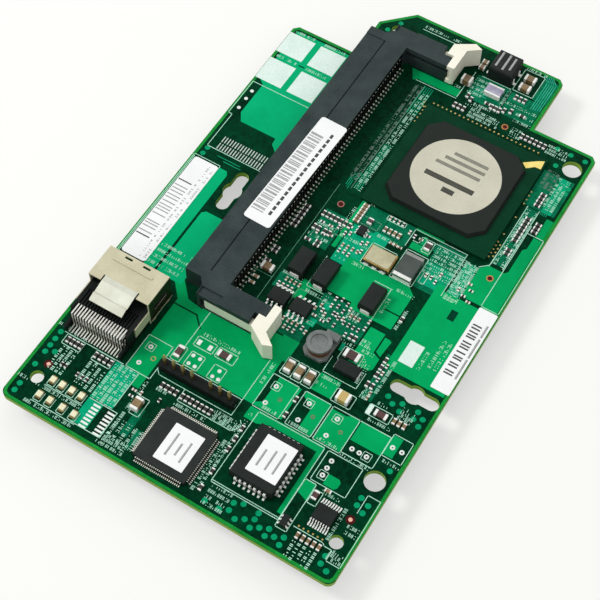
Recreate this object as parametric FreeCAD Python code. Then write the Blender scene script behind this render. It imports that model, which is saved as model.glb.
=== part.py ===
import FreeCAD, Part
import math
import os

# A mezzanine storage controller card: a stepped circuit board with a right-angle memory socket,
# a right-angle four-lane drive port, a large ball grid chip and the small parts round them.
# Every place is measured in millimetres from the board's front left corner and its top face;
# save() then moves the pieces so that the origin is under the middle of the board, at rest level.

V = FreeCAD.Vector
Z_AXIS = V(0, 0, 1)

# ---- circuit board
board_width = 89.1
board_length = 152.0
board_thick = 1.6
corner_radius = 2.0
edge_chamfer = 1.3
wing_length = 131.1        # how far the left wing runs back
wing_width = 18.7
shoulder_rise = 13.2       # straight edge between the left wing and the long chamfer
shoulder_run = 7.7         # long chamfer of the back left corner
ledge_length = 133.5       # how far the right edge runs back
ledge_width = 18.2
mount_hole_radius = 1.65
clear_hole_radius = 2.55
keyhole_width = 3.5
keyhole_length = 12.6
keyhole_eye_radius = 2.5
hole_inset = 4.3           # mounting holes from the board's side edges

# ---- memory socket
socket_left = 20.0
socket_depth = 11.6
socket_middle = 92.5       # Y of the socket's middle
socket_height = 6.0
bay_length = 85.8          # between the two arms
socket_end = 1.7           # from the bay to the end of the socket's back
arm_reach = 12.0           # arm tips from the mouth
arm_width = 6.1
arm_finger = 3.3           # width of the finger at the arm's tip
finger_reach = 3.0
arm_root = 6.0             # where the arm's outer edge starts, from the socket's back
slot_floor = 3.1
slot_height = 1.4
slot_depth = 4.6
guide_depth = 1.0
contact_pitch = 1.27
contact_count = 64
contact_width = 0.5
contact_thick = 0.2
contact_gap = 0.12
lid_groove = 5.4           # lengthwise groove from the socket's back
groove_width = 0.4
lid_step = 0.2             # how much lower the cover beside the groove is
peg_radius = 0.9

# ---- latches
latch_floor = 0.5          # socket floor under the latch bar
latch_play = 0.25
channel_height = 3.8
channel_depth = 2.8
bar_width = 1.9
pivot_from_root = 2.6
pivot_inset = 1.45         # pivot axis from the arm's outer face
pivot_radius = 0.8
pivot_clearance = 0.05
pivot_socket_depth = 0.8
eye_wall = 0.55            # round the pivot
head_height = 6.3
head_bottom = 0.4
head_gap = 0.2             # between the latch head and the arm's finger
pad_gap = 1.3              # between the latch head and the arm's shoulder
head_width = 2.1
hook_cover = 0.5           # how far the hook stands in front of the memory board's edge
jaw_height = 4.0
jaw_depth = 1.0
tab_reach = 3.2
tab_drop = 5.4

# ---- drive port
port_middle = 10.95
port_back = 25.0
port_mouth = 42.5
cage_width = 16.9
cage_height = 8.7
cage_depth = 9.1
sheet = 0.3
tongue_width = 9.3
tongue_length = 5.4
tongue_drop = 1.2
port_shelf = 5.6           # height of the moulding's rear shelf
port_floor = 1.0
port_pitch = 0.8
port_lanes = 18
lead_width = 0.35
lead_thick = 0.2
blade_height = 3.0
blade_slot = 1.1
mouth_depth = 4.5
cage_tab_width = 1.2
cage_tab_length = 2.4
tab_hole_play = 0.15

# ---- ball grid chip
grid_chip_x = 61.3
grid_chip_y = 108.1
grid_chip_size = 35.0
grid_base_thick = 0.6
grid_cap_size = 28.6
grid_cap_thick = 1.1
grid_cap_chamfer = 3.3
slug_radius = 11.6
slug_rise = 0.05
ball_pitch = 1.27
ball_radius = 0.37
ball_height = 0.5
ball_rows = 26

# ---- leaded chips
draft_slope = 0.14
logic_x = 42.25
logic_y = 10.0
logic_size = 14.0
logic_height = 1.2
logic_span = 16.0
logic_pitch = 0.5
logic_lead_count = 25
firmware_x = 62.1
firmware_y = 17.1
firmware_width = 11.4
firmware_length = 14.0
firmware_height = 2.9
firmware_pitch = 1.27
fine_lead = 0.22
lead_sheet = 0.15
chip_lift = 0.12           # under a leaded chip's body

# ---- pin header
header_x = 38.0
header_y = 25.45
header_pitch = 2.54
header_count = 8
header_blank_index = 5           # this place has no pin
header_body = 2.5
pin_size = 0.64
pin_top = 6.3
pin_tail = 2.6
pin_hole_play = 0.12

# ---- parts for power, timing and light
tantalum_size = (4.3, 7.3, 2.8)
clock_size = (7.0, 5.0, 1.3)
clock_lid = 0.35
choke_size = (4.8, 5.6, 2.0)
choke_x = 64.1
choke_y = 78.6
drum_x = 56.9
drum_y = 48.6
drum_base = 6.6
drum_base_thick = 1.0
drum_radius = 3.1
drum_core_radius = 1.9
drum_flange = 0.8
drum_height = 3.6
transformer_x = 56.0
transformer_y = board_length - 6.0
transformer_size = (6.8, 7.2, 4.4)
fuse_size = (4.5, 3.3, 1.5)
fuse_end = 0.45            # how far each plated end laps the fuse
led_size = (1.3, 2.1, 0.8)

# ---- stickers
sticker_thick = 0.12
sticker_corner = 0.8

# ---- host connector under the board
host_x = 42.0
host_y = 75.8
host_width = 14.0
host_length = 62.0
host_height = 5.4
host_wall = 1.6
host_floor = 1.2
host_contact_pitch = 1.27
host_contact_count = 44
host_contact_size = (0.35, 0.6, 3.0)

# ---- derived places
socket_front = socket_left + socket_depth
bay_low = socket_middle - bay_length / 2
bay_high = socket_middle + bay_length / 2
socket_back_low = bay_low - socket_end
socket_back_high = bay_high + socket_end
arm_start = socket_left + arm_root
arm_end = socket_front + arm_reach
shoulder_end = arm_end - finger_reach
arm_low = bay_low - arm_width
channel_floor = latch_floor
channel_roof = latch_floor + channel_height
slot_roof = slot_floor + slot_height
mid_x = board_width / 2
mid_y = board_length / 2
rest_level = board_thick + host_height


def box(x0, y0, z0, x1, y1, z1):
    return Part.makeBox(x1 - x0, y1 - y0, z1 - z0, V(x0, y0, z0))


def block(x, y, z, size_x, size_y, size_z):
    return box(x - size_x / 2, y - size_y / 2, z, x + size_x / 2, y + size_y / 2, z + size_z)


def disc(x, y, z, radius, height):
    return Part.makeCylinder(radius, height, V(x, y, z))


def prism(points, z0, z1):
    wire = Part.makePolygon([V(x, y, z0) for x, y in points] + [V(points[0][0], points[0][1], z0)])
    return Part.Face(wire).extrude(V(0, 0, z1 - z0))


def profile_y(points, x0, x1):
    """A section in the Y-Z plane, drawn out along X."""
    wire = Part.makePolygon([V(x0, y, z) for y, z in points] + [V(x0, points[0][0], points[0][1])])
    return Part.Face(wire).extrude(V(x1 - x0, 0, 0))


def rectangle_wire(x, y, z, size_x, size_y):
    a, b = size_x / 2, size_y / 2
    corners = [V(x - a, y - b, z), V(x + a, y - b, z), V(x + a, y + b, z), V(x - a, y + b, z)]
    return Part.makePolygon(corners + corners[:1])


def frustum(x, y, z0, z1, low, high):
    wires = [rectangle_wire(x, y, z0, *low), rectangle_wire(x, y, z1, *high)]
    return Part.makeLoft(wires, True, True)


def fuse(pieces):
    return pieces[0].multiFuse(pieces[1:]).removeSplitter()


def rounded_plate(x0, y0, x1, y1, z, thick, radius):
    plate = box(x0, y0, z, x1, y1, z + thick)
    upright = [e for e in plate.Edges if abs(e.Vertexes[0].Z - e.Vertexes[-1].Z) > thick / 2]
    return plate.makeFillet(radius, upright)


def turned(shape, degrees, x, y):
    """The same shape, turned about the upright axis at x, y."""
    copy = shape.copy()
    copy.rotate(V(x, y, 0), Z_AXIS, degrees)
    return copy


def shifted(shape, x, y, z=0.0):
    copy = shape.copy()
    copy.translate(V(x, y, z))
    return copy


def mirrored(shape, y):
    return shape.mirror(V(0, y, 0), V(0, 1, 0))


def places(middle, pitch, count):
    return [middle + pitch * (i - (count - 1) / 2) for i in range(count)]


def save(node, pieces):
    shape = Part.makeCompound(pieces) if len(pieces) > 1 else pieces[0]
    shape = shifted(shape, -mid_x, -mid_y, rest_level)
    shape.exportStep("parts/" + node + ".step")


# ---- circuit board ---------------------------------------------------------------------------

def keyhole(x, y, along_x):
    """Slot with an eye at its middle, cut right through the board."""
    half = keyhole_length / 2 - keyhole_width / 2
    depth = board_thick + 2
    cut = [disc(x, y, -depth + 1, keyhole_eye_radius, depth)]
    for side in (-half, half):
        cut.append(disc(x + side, y, -depth + 1, keyhole_width / 2, depth))
    cut.append(block(x, y, -depth + 1, 2 * half, keyhole_width, depth))
    slot = fuse(cut)
    return slot if along_x else turned(slot, 90, x, y)


def mount_holes():
    back_left = (socket_left + 4.4, wing_length + shoulder_rise)
    return [(hole_inset + 0.6, 7.9), (board_width - hole_inset, 9.4), back_left]


def clear_holes():
    return [(board_width - hole_inset, 26.3), (board_width - hole_inset + 0.2, ledge_length - 6.4)]


def header_pins():
    columns = places(header_x, header_pitch, header_count)
    return [x for i, x in enumerate(columns) if i != header_blank_index - 1]


def socket_pegs():
    x = socket_left + 2.2
    return [(x, socket_back_low + 3), (x, socket_back_high - 3)]


def cage_tabs():
    """Left edge of each tab and its middle in Y."""
    left = port_middle - cage_width / 2
    right = port_middle + cage_width / 2 - sheet
    ys = (port_mouth - cage_depth + 1.6, port_mouth - 1.6)
    return [(x, y) for x in (left, right) for y in ys]


def circuit_board():
    back_left = wing_length + shoulder_rise
    outline = [
        (corner_radius, 0), (board_width - corner_radius, 0), (board_width, corner_radius),
        (board_width, ledge_length - edge_chamfer), (board_width - edge_chamfer, ledge_length),
        (board_width - ledge_width, ledge_length),
        (board_width - ledge_width, board_length - edge_chamfer),
        (board_width - ledge_width - edge_chamfer, board_length),
        (wing_width + shoulder_run, board_length), (wing_width, back_left),
        (wing_width, wing_length), (edge_chamfer, wing_length), (0, wing_length - edge_chamfer),
        (0, corner_radius)]
    board = prism(outline, -board_thick, 0)
    for x in (corner_radius, board_width - corner_radius):
        board = board.fuse(disc(x, corner_radius, -board_thick, corner_radius, board_thick))
    board = board.removeSplitter()
    depth = board_thick + 2
    cuts = [disc(x, y, -depth + 1, mount_hole_radius, depth) for x, y in mount_holes()]
    cuts += [disc(x, y, -depth + 1, clear_hole_radius, depth) for x, y in clear_holes()]
    cuts += [keyhole(15.0, 76.0, False), keyhole(board_width - 7.1, 49.8, True)]
    pin_radius = pin_size / math.sqrt(2) + pin_hole_play
    cuts += [disc(x, header_y, -depth + 1, pin_radius, depth) for x in header_pins()]
    cuts += [disc(x, y, -depth + 1, peg_radius + pin_hole_play, depth) for x, y in socket_pegs()]
    for x, y in cage_tabs():
        slot_x = sheet + 2 * tab_hole_play
        cuts.append(block(x + sheet / 2, y, -depth + 1, slot_x, cage_tab_width + 2 * tab_hole_play, depth))
    save("circuit_board", [board.cut(Part.makeCompound(cuts))])


# ---- memory socket ---------------------------------------------------------------------------

def socket_arm():
    """The lower arm: a finger beside the bay and, outside it, a channel for the latch bar."""
    arm = box(arm_start, arm_low, 0, shoulder_end, bay_low, socket_height)
    arm = arm.fuse(box(arm_start, bay_low - arm_finger, 0, arm_end, bay_low, socket_height))
    root = [(arm_start - 1.6, bay_low), (arm_start - 1.6, socket_back_low),
            (arm_start, bay_low - arm_finger - 0.2), (arm_start, bay_low)]
    arm = arm.fuse(prism(root, 0, socket_height))
    inner = arm_low + channel_depth
    cuts = [box(arm_start + 0.8, arm_low - 1, channel_floor, shoulder_end + 1, inner, channel_roof)]
    pocket = (arm_start + 0.2, arm_start + arm_root)
    cuts.append(box(pocket[0], arm_low - 1, socket_height - 0.5, pocket[1], arm_low + 2.4, socket_height + 1))
    guide = bay_low - guide_depth
    cuts.append(box(socket_front - 0.1, guide, slot_floor, arm_end + 1, bay_low + 1, slot_roof))
    x, y = latch_pivot()
    bearing = pivot_radius + pivot_clearance
    cuts.append(disc(x, y, -1, bearing, channel_floor + 1.5))
    cuts.append(disc(x, y, channel_roof - 0.5, bearing, pivot_socket_depth + 0.5))
    return arm.cut(Part.makeCompound(cuts))


def latch_pivot():
    return arm_start + pivot_from_root, arm_low + pivot_inset


def memory_socket_housing():
    body = box(socket_left, socket_back_low, 0, socket_front, socket_back_high, socket_height)
    slot = box(socket_front - slot_depth, bay_low + 0.3, slot_floor, socket_front + 1,
               bay_high - 0.3, slot_roof)
    groove = box(socket_left + lid_groove, bay_low + 0.9, socket_height - 0.6,
                 socket_left + lid_groove + groove_width, bay_high - 0.9, socket_height + 1)
    step = box(socket_left - 1, bay_low + 0.9, socket_height - lid_step, socket_left + lid_groove + 0.1,
               bay_high - 0.9, socket_height + 1)
    combs = [block(socket_front, y, -1, 2 * (contact_thick + 0.25), contact_width + 2 * contact_gap,
                   1 + slot_floor + 0.05) for y in places(socket_middle, contact_pitch, contact_count)]
    body = body.cut(Part.makeCompound([slot, groove, step] + combs))
    arm = socket_arm()
    body = fuse([body, arm, mirrored(arm, socket_middle)])
    pegs = [disc(x, y, -board_thick, peg_radius, board_thick) for x, y in socket_pegs()]
    save("memory_socket_housing", [fuse([body] + pegs)])


def memory_socket_contacts():
    """Bent strips: a foot on the board, a riser in its comb and a finger on the slot's floor."""
    strips = []
    face = socket_front - 0.2
    back = socket_front - slot_depth + 0.3
    section = [(face + 1.2, 0), (face + 1.2, contact_thick), (face, contact_thick),
               (face, slot_floor + 0.55), (face - 1.2, slot_floor + 0.75), (back, slot_floor + 0.3),
               (back, slot_floor + 0.05), (face - 1.2, slot_floor + 0.5),
               (face - contact_thick, slot_floor + 0.3), (face - contact_thick, 0)]
    for y in places(socket_middle, contact_pitch, contact_count):
        low = y - contact_width / 2
        wire = Part.makePolygon([V(x, low, z) for x, z in section + section[:1]])
        strips.append(Part.Face(wire).extrude(V(0, contact_width, 0)))
    save("memory_socket_contacts", strips)


# ---- latches ---------------------------------------------------------------------------------

def latch():
    """Lower latch: bar in the arm's channel, stub pivots, and a head with hook and thumb tab."""
    x, y = latch_pivot()
    pad_left = shoulder_end + pad_gap
    bar_low = channel_floor + latch_play
    bar_high = channel_roof - latch_play
    eye = pivot_radius + eye_wall
    bar = box(x, y - eye, bar_low, pad_left + 1, y - eye + bar_width, bar_high)
    bar = bar.fuse(disc(x, y, bar_low, eye, bar_high - bar_low))
    stubs = [disc(x, y, 0.1, pivot_radius, bar_low), disc(x, y, bar_high - 0.2, pivot_radius,
             latch_play + 0.2 + pivot_socket_depth - 0.1)]
    hook_left = arm_end + head_gap
    hook_right = hook_left + head_width
    finger_outer = bay_low - arm_finger - head_gap
    pad_low = arm_low - 1.0
    tip = (hook_right + tab_reach, pad_low - tab_drop + 3.2)
    outline = [(pad_left, pad_low), (tip[0] - 2.2, tip[1] - 0.9), tip, (hook_right, pad_low + 0.3),
               (hook_right, bay_low + hook_cover - 0.4), (hook_right - 0.4, bay_low + hook_cover),
               (hook_left, bay_low + hook_cover), (hook_left, finger_outer), (pad_left, finger_outer)]
    head = prism(outline, head_bottom, head_bottom + head_height)
    jaw_low = head_bottom + (head_height - jaw_height) / 2
    jaw = box(hook_left - 1, bay_low - 0.6, jaw_low, hook_left + jaw_depth, bay_low + 2, jaw_low + jaw_height)
    return fuse([bar, head.cut(jaw)] + stubs)


def latches():
    lower = latch()
    save("lower_latch", [lower])
    save("upper_latch", [mirrored(lower, socket_middle)])


# ---- drive port ------------------------------------------------------------------------------

def drive_port_cage():
    left = port_middle - cage_width / 2
    right = port_middle + cage_width / 2
    front = port_mouth - cage_depth
    roof = cage_height - sheet
    top = box(left, front, roof, right, port_mouth, cage_height)
    for side in (-1, 1):
        slit = port_middle + side * (tongue_width / 2 + 0.2)
        top = top.cut(box(slit - 0.2, front - 1, roof - 1, slit + 0.2, front + 1.6, cage_height + 1))
        window = port_middle + side * 2.55
        top = top.cut(box(window - 1.05, port_mouth - 1.2, roof - 1, window + 1.05, port_mouth - 0.6,
                          cage_height + 1))
    rib = box(left + 2.5, port_mouth - 3.0, cage_height, right - 3.1, port_mouth - 2.5, cage_height + 0.25)
    walls = []
    shelf_top = port_shelf - 0.2
    for x in (left, right - sheet):
        wall = box(x, front, 0.1, x + sheet, port_mouth, roof)
        window = box(x - 1, front + 2.2, 3.0, x + 1, port_mouth - 1.8, 5.2)
        wall = wall.cut(window)
        walls += [wall, box(x, front - 5.7, 2.0, x + sheet, front, shelf_top)]
    tabs = [box(x, y - cage_tab_width / 2, 0.1 - cage_tab_length, x + sheet, y + cage_tab_width / 2, 0.1)
            for x, y in cage_tabs()]
    end = front - tongue_length
    bend = front - 3.0
    dip = cage_height - tongue_drop
    section = [(front, cage_height), (bend, dip + 0.45), (bend - 0.5, dip + 0.75), (end + 0.9, dip + 0.35),
               (end, dip), (end, dip - sheet), (end + 0.9, dip + 0.35 - sheet),
               (bend - 0.5, dip + 0.75 - sheet), (bend, dip + 0.45 - sheet), (front, roof)]
    tongue = profile_y(section, port_middle - tongue_width / 2, port_middle + tongue_width / 2)
    save("drive_port_cage", [fuse([top, rib, tongue] + walls + tabs)])


def drive_port_housing():
    left = port_middle - cage_width / 2 + sheet
    right = port_middle + cage_width / 2 - sheet
    lanes = places(port_middle, port_pitch, port_lanes)
    row_half = (lanes[-1] - lanes[0]) / 2 + 0.6
    rear = port_back + 1.8
    shelf = box(left, rear, 0, right, port_mouth - cage_depth + 1.0, port_shelf)
    cheeks = []
    for x0, x1 in ((left, port_middle - row_half), (port_middle + row_half, right)):
        cheeks.append(box(x0, port_back, 0, x1, rear, port_shelf))
        cheeks.append(box(x0, port_back - 3.4, 0, x1, port_back, 2.0))
    front = port_mouth - cage_depth + 1.0
    mouth_back = port_mouth - mouth_depth
    floor = box(left, front, 0, right, port_mouth - 0.2, port_floor)
    wall = box(left, front, port_floor, right, front + 1.0, cage_height - sheet)
    blade = block(port_middle, (front + 1.0 + mouth_back) / 2, 3.2, 2 * row_half - 1.2,
                  mouth_back - front - 1.0, blade_height)
    middle = 3.2 + blade_height / 2
    card_slot = block(port_middle, mouth_back, middle - blade_slot / 2, 2 * row_half - 2.4, 3.4, blade_slot)
    body = fuse([shelf, floor, wall, blade] + cheeks).cut(card_slot)
    grooves = [box(x - 0.2, rear + 0.2, port_shelf - 0.5, x + 0.2, rear + 4.6, port_shelf + 1)
               for x in lanes]
    save("drive_port_housing", [body.cut(Part.makeCompound(grooves))])


def drive_port_contacts():
    rear = port_back + 1.8
    knee = rear - 3.1
    top = port_shelf - 0.05
    upper = [(rear, top), (knee, top), (knee, lead_thick), (knee - 2.1, lead_thick), (knee - 2.1, 0),
             (knee + lead_thick, 0), (knee + lead_thick, top - lead_thick), (rear, top - lead_thick)]
    heel = rear - 1.5
    lower = [(rear, 2.4), (heel, 2.4), (heel, lead_thick), (heel - 0.9, lead_thick), (heel - 0.9, 0),
             (heel + lead_thick, 0), (heel + lead_thick, 2.4 - lead_thick), (rear, 2.4 - lead_thick)]
    leads = []
    for x in places(port_middle, port_pitch, port_lanes):
        for section in (upper, lower):
            leads.append(profile_y(section, x - lead_width / 2, x + lead_width / 2))
    save("drive_port_contacts", leads)


# ---- ball grid chip --------------------------------------------------------------------------

def grid_chip():
    x, y = grid_chip_x, grid_chip_y
    base_top = ball_height + grid_base_thick
    save("raid_chip_base", [block(x, y, ball_height, grid_chip_size, grid_chip_size, grid_base_thick)])
    columns = places(x, ball_pitch, ball_rows)
    rows = places(y, ball_pitch, ball_rows)
    edge = (0, ball_rows - 1)
    balls = [disc(bx, by, 0, ball_radius, ball_height) for i, bx in enumerate(columns)
             for j, by in enumerate(rows) if i in edge or j in edge]
    save("raid_chip_balls", balls)
    a = grid_cap_size / 2
    c = grid_cap_chamfer
    shoulder = grid_cap_thick * 0.45
    corners = [(-a + c, -a), (a - c, -a), (a, -a + c), (a, a - c), (a - c, a), (-a + c, a), (-a, a - c),
               (-a, -a + c)]

    def ring(scale, z):
        points = [V(x + px * scale, y + py * scale, z) for px, py in corners]
        return Part.makePolygon(points + points[:1])

    cap = Part.makeLoft([ring(1.0, base_top), ring(1 - shoulder / a, base_top + grid_cap_thick)], True, True)
    seat = disc(x, y, base_top + grid_cap_thick / 2, slug_radius, grid_cap_thick)
    save("raid_chip_cap", [cap.cut(seat)])
    save("raid_chip_heat_slug", [disc(x, y, base_top + grid_cap_thick / 2, slug_radius,
                                      grid_cap_thick / 2 + slug_rise)])


# ---- leaded chips ----------------------------------------------------------------------------

def moulded(x, y, size_x, size_y, height, lift=chip_lift):
    """A moulded body with drafted halves and a thin band at the parting line."""
    half = (height - lead_sheet) / 2
    inset = 2 * draft_slope * half
    narrow = (size_x - inset, size_y - inset)
    full = (size_x, size_y)
    band = block(x, y, lift + half, size_x, size_y, lead_sheet)
    return fuse([frustum(x, y, lift, lift + half, narrow, full), band,
                 frustum(x, y, lift + half + lead_sheet, lift + height, full, narrow)])


def gull_leads(x, y, size, span, height, pitch, count, width, foot, sides, lift=chip_lift):
    """Gull-wing leads on the named sides: 0 is +X, then counter-clockwise."""
    leads = []
    high = lift + (height - lead_sheet) / 2 + lead_sheet
    for side in sides:
        along_x = side % 2 == 1
        edge = size[1 if along_x else 0] / 2
        reach = span[1 if along_x else 0] / 2
        knee = reach - foot
        section = [(edge, high), (knee, high), (knee, lead_sheet), (reach, lead_sheet), (reach, 0),
                   (knee - lead_sheet, 0), (knee - lead_sheet, high - lead_sheet), (edge, high - lead_sheet)]
        for offset in places(0, pitch, count):
            wire = Part.makePolygon([V(u, offset - width / 2, z) for u, z in section + section[:1]])
            lead = Part.Face(wire).extrude(V(0, width, 0))
            leads.append(shifted(turned(lead, 90 * side, 0, 0), x, y))
    return leads


def logic_chip():
    size = (logic_size, logic_size)
    span = (logic_span, logic_span)
    save("logic_chip_body", [moulded(logic_x, logic_y, logic_size, logic_size, logic_height)])
    leads = gull_leads(logic_x, logic_y, size, span, logic_height, logic_pitch, logic_lead_count,
                       fine_lead, 0.6, (0, 1, 2, 3))
    save("logic_chip_leads", leads)
    top = chip_lift + logic_height
    label = rounded_plate(logic_x - 2.7, logic_y - 5.2, logic_x + 5.1, logic_y + 4.6, top, sticker_thick, 0.2)
    save("logic_chip_label", [label])


def firmware_chip():
    lift = 0.5
    x, y = firmware_x, firmware_y
    body = moulded(x, y, firmware_width, firmware_length, firmware_height, lift)
    corner = 0.9
    upright = [V(x - firmware_width / 2, y + firmware_length / 2, 0)]
    wedge = prism([(upright[0].x - 1, upright[0].y - corner), (upright[0].x + corner, upright[0].y + 1),
                   (upright[0].x - 1, upright[0].y + 1)], 0, 9)
    save("firmware_chip_body", [body.cut(wedge)])
    middle = lift + (firmware_height - lead_sheet) / 2
    out = 0.45
    wide = 0.6
    leads = []
    for side, edge, count in ((0, firmware_width / 2, 9), (1, firmware_length / 2, 7),
                              (2, firmware_width / 2, 9), (3, firmware_length / 2, 7)):
        section = [(edge, middle + lead_sheet), (edge + out, middle + lead_sheet), (edge + out, 0),
                   (edge - 0.7, 0), (edge - 0.7, lead_sheet), (edge + out - lead_sheet, lead_sheet),
                   (edge + out - lead_sheet, middle), (edge, middle)]
        for offset in places(0, firmware_pitch, count):
            wire = Part.makePolygon([V(u, offset - wide / 2, z) for u, z in section + section[:1]])
            lead = Part.Face(wire).extrude(V(0, wide, 0))
            leads.append(shifted(turned(lead, 90 * side, 0, 0), x, y))
    save("firmware_chip_leads", leads)
    top = lift + firmware_height
    label = rounded_plate(x - 2.8, y - 4.7, x + 5.1, y + 5.2, top, sticker_thick, 0.2)
    save("firmware_chip_label", [label])


def small_chips():
    """Eight and sixteen lead chips, two glossy power chips and small three and six lead parts."""
    bodies = []
    leads = []

    def chip(x, y, size, span, height, pitch, count, width, foot, sides):
        bodies.append(moulded(x, y, size[0], size[1], height))
        leads.extend(gull_leads(x, y, size, span, height, pitch, count, width, foot, sides))

    for x in (41.6, 47.65):
        chip(x, 55.5, (4.9, 3.9), (4.9, 6.0), 1.5, 1.27, 4, 0.42, 0.55, (1, 3))
    chip(79.6, 13.2, (4.9, 3.9), (4.9, 6.4), 1.4, 0.635, 8, 0.27, 0.7, (1, 3))
    chip(72.7, 7.5, (1.6, 2.9), (2.8, 2.9), 1.0, 0.95, 3, 0.4, 0.4, (0, 2))
    chip(49.0, 82.4, (2.0, 2.8), (3.2, 2.8), 1.0, 0.95, 3, 0.4, 0.4, (0, 2))
    save("small_chip_bodies", bodies)
    save("small_chip_leads", leads)


# ---- pin header ------------------------------------------------------------------------------

def pin_header():
    base = block(header_x, header_y, 0, header_pitch * header_count, header_body, header_body)
    holes = [block(x, header_y, -1, pin_size, pin_size, header_body + 2) for x in header_pins()]
    save("pin_header_base", [base.cut(Part.makeCompound(holes))])
    pins = []
    for x in header_pins():
        shank = block(x, header_y, -pin_tail, pin_size, pin_size, pin_tail + pin_top - 0.5)
        small = pin_size / 2
        tip = frustum(x, header_y, pin_top - 0.5, pin_top, (pin_size, pin_size), (small, small))
        pins.append(fuse([shank, tip]))
    save("pin_header_pins", pins)


# ---- power, timing and light -----------------------------------------------------------------

def tantalum_capacitors():
    bodies = []
    ends = []
    width, length, height = tantalum_size
    for x in (41.5, 48.1, 61.2):
        y = 66.2
        bodies.append(moulded(x, y, width, length, height, 0.25))
        for side in (-1, 1):
            out = y + side * (length / 2 + 0.1)
            face = block(x, out, 0, 2.4, 0.2, 1.4)
            foot = block(x, y + side * (length / 2 - 0.45), 0, 2.4, 1.3, 0.2)
            ends.append(fuse([face, foot]))
    x, y = 65.6, 46.8
    bodies.append(moulded(x, y, 6.0, 3.2, 1.9, 0.25))
    for side in (-1, 1):
        face = block(x + side * 3.1, y, 0, 0.2, 2.2, 1.0)
        foot = block(x + side * 2.55, y, 0, 1.3, 2.2, 0.2)
        ends.append(fuse([face, foot]))
    save("tantalum_capacitor_bodies", bodies)
    save("tantalum_capacitor_ends", ends)


def clock_oscillator():
    x, y = 57.0, 77.5
    width, length, height = clock_size
    save("clock_oscillator_base", [block(x, y, 0, width, length, height)])
    lid = rounded_plate(x - width / 2 + 0.25, y - length / 2 + 0.25, x + width / 2 - 0.25,
                        y + length / 2 - 0.25, height, clock_lid, 0.5)
    save("clock_oscillator_lid", [lid])


def power_choke():
    width, length, height = choke_size
    save("power_choke_body", [block(choke_x, choke_y, 0, width, length, height)])
    caps = []
    for side in (-1, 1):
        y = choke_y + side * (length / 2 + 0.45)
        caps.append(block(choke_x, y, 0, width, 0.9, height + 0.05))
    save("power_choke_ends", caps)


def drum_inductor():
    """A ferrite drum on a flat base: flange, winding round the core, and a second flange."""
    x, y = drum_x, drum_y
    c = 1.3
    a = drum_base / 2
    outline = [(x - a + c, y - a), (x + a - c, y - a), (x + a, y - a + c), (x + a, y + a),
               (x - a + c, y + a), (x - a, y + a - c), (x - a, y - a + c)]
    base = prism(outline, 0, drum_base_thick)
    plate = box(x - 0.4, y + a - 0.6, 0, x + a, y + a + 1.4, drum_base_thick + 1.2)
    core = disc(x, y, drum_base_thick, drum_core_radius, drum_height - drum_base_thick)
    flange = disc(x, y, drum_height - drum_flange, drum_radius, drum_flange)
    dimple = disc(x, y, drum_height - 0.25, drum_radius - 1.0, 1)
    save("drum_inductor_core", [fuse([base, plate, core, flange]).cut(dimple)])
    z0 = drum_base_thick
    z1 = drum_height - drum_flange
    coil = disc(x, y, z0, drum_radius - 0.25, z1 - z0).cut(disc(x, y, z0 - 1, drum_core_radius, z1 + 1))
    save("drum_inductor_winding", [coil.cut(plate)])


def transformer():
    width, length, height = transformer_size
    x, y = transformer_x, transformer_y
    body = block(x, y, 0.1, width, length, height - 0.1)
    corner = prism([(x + width / 2 - 1.0, y + length / 2 + 1), (x + width / 2 + 1, y + length / 2 - 1.6),
                    (x + width / 2 + 1, y + length / 2 + 1)], 0, 9)
    body = body.cut(corner)
    top = [e for e in body.Edges if e.BoundBox.ZMin > height - 0.01]
    save("transformer_body", [body.makeChamfer(0.35, top)])
    leads = []
    for side in (-1, 1):
        for row in (-1.9, 1.5):
            edge = x + side * width / 2
            strip = block(edge + side * 0.45, y + row, 0, 0.9, 0.8, 0.25)
            upright = block(edge + side * 0.1, y + row, 0, 0.2, 0.8, 1.6)
            leads.append(fuse([strip, upright]))
    save("transformer_leads", leads)


def resettable_fuse():
    width, length, height = fuse_size
    x, y = 56.65, 138.45
    save("resettable_fuse_body", [block(x, y, 0.02, width, length - 2 * fuse_end, height - 0.04)])
    out = (length - fuse_end) / 2
    save("resettable_fuse_ends", [block(x, y + side * out, 0, width, fuse_end, height) for side in (-1, 1)])


def indicator_lights():
    """Two rows of four surface-mounted lights: lens on a small base with a metal pad at each end."""
    width, length, height = led_size
    lenses = []
    ends = []
    for xs, y in (((8.8, 11.4, 14.1, 16.8), 9.1), ((8.3, 11.3, 14.8, 18.1), 4.4)):
        for x in xs:
            lenses.append(block(x, y, 0, width, length - 0.7, height))
            for side in (-1, 1):
                ends.append(block(x, y + side * (length / 2 - 0.175), 0, width, 0.35, height - 0.25))
    save("indicator_lights", lenses)
    save("indicator_light_ends", ends)


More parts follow.
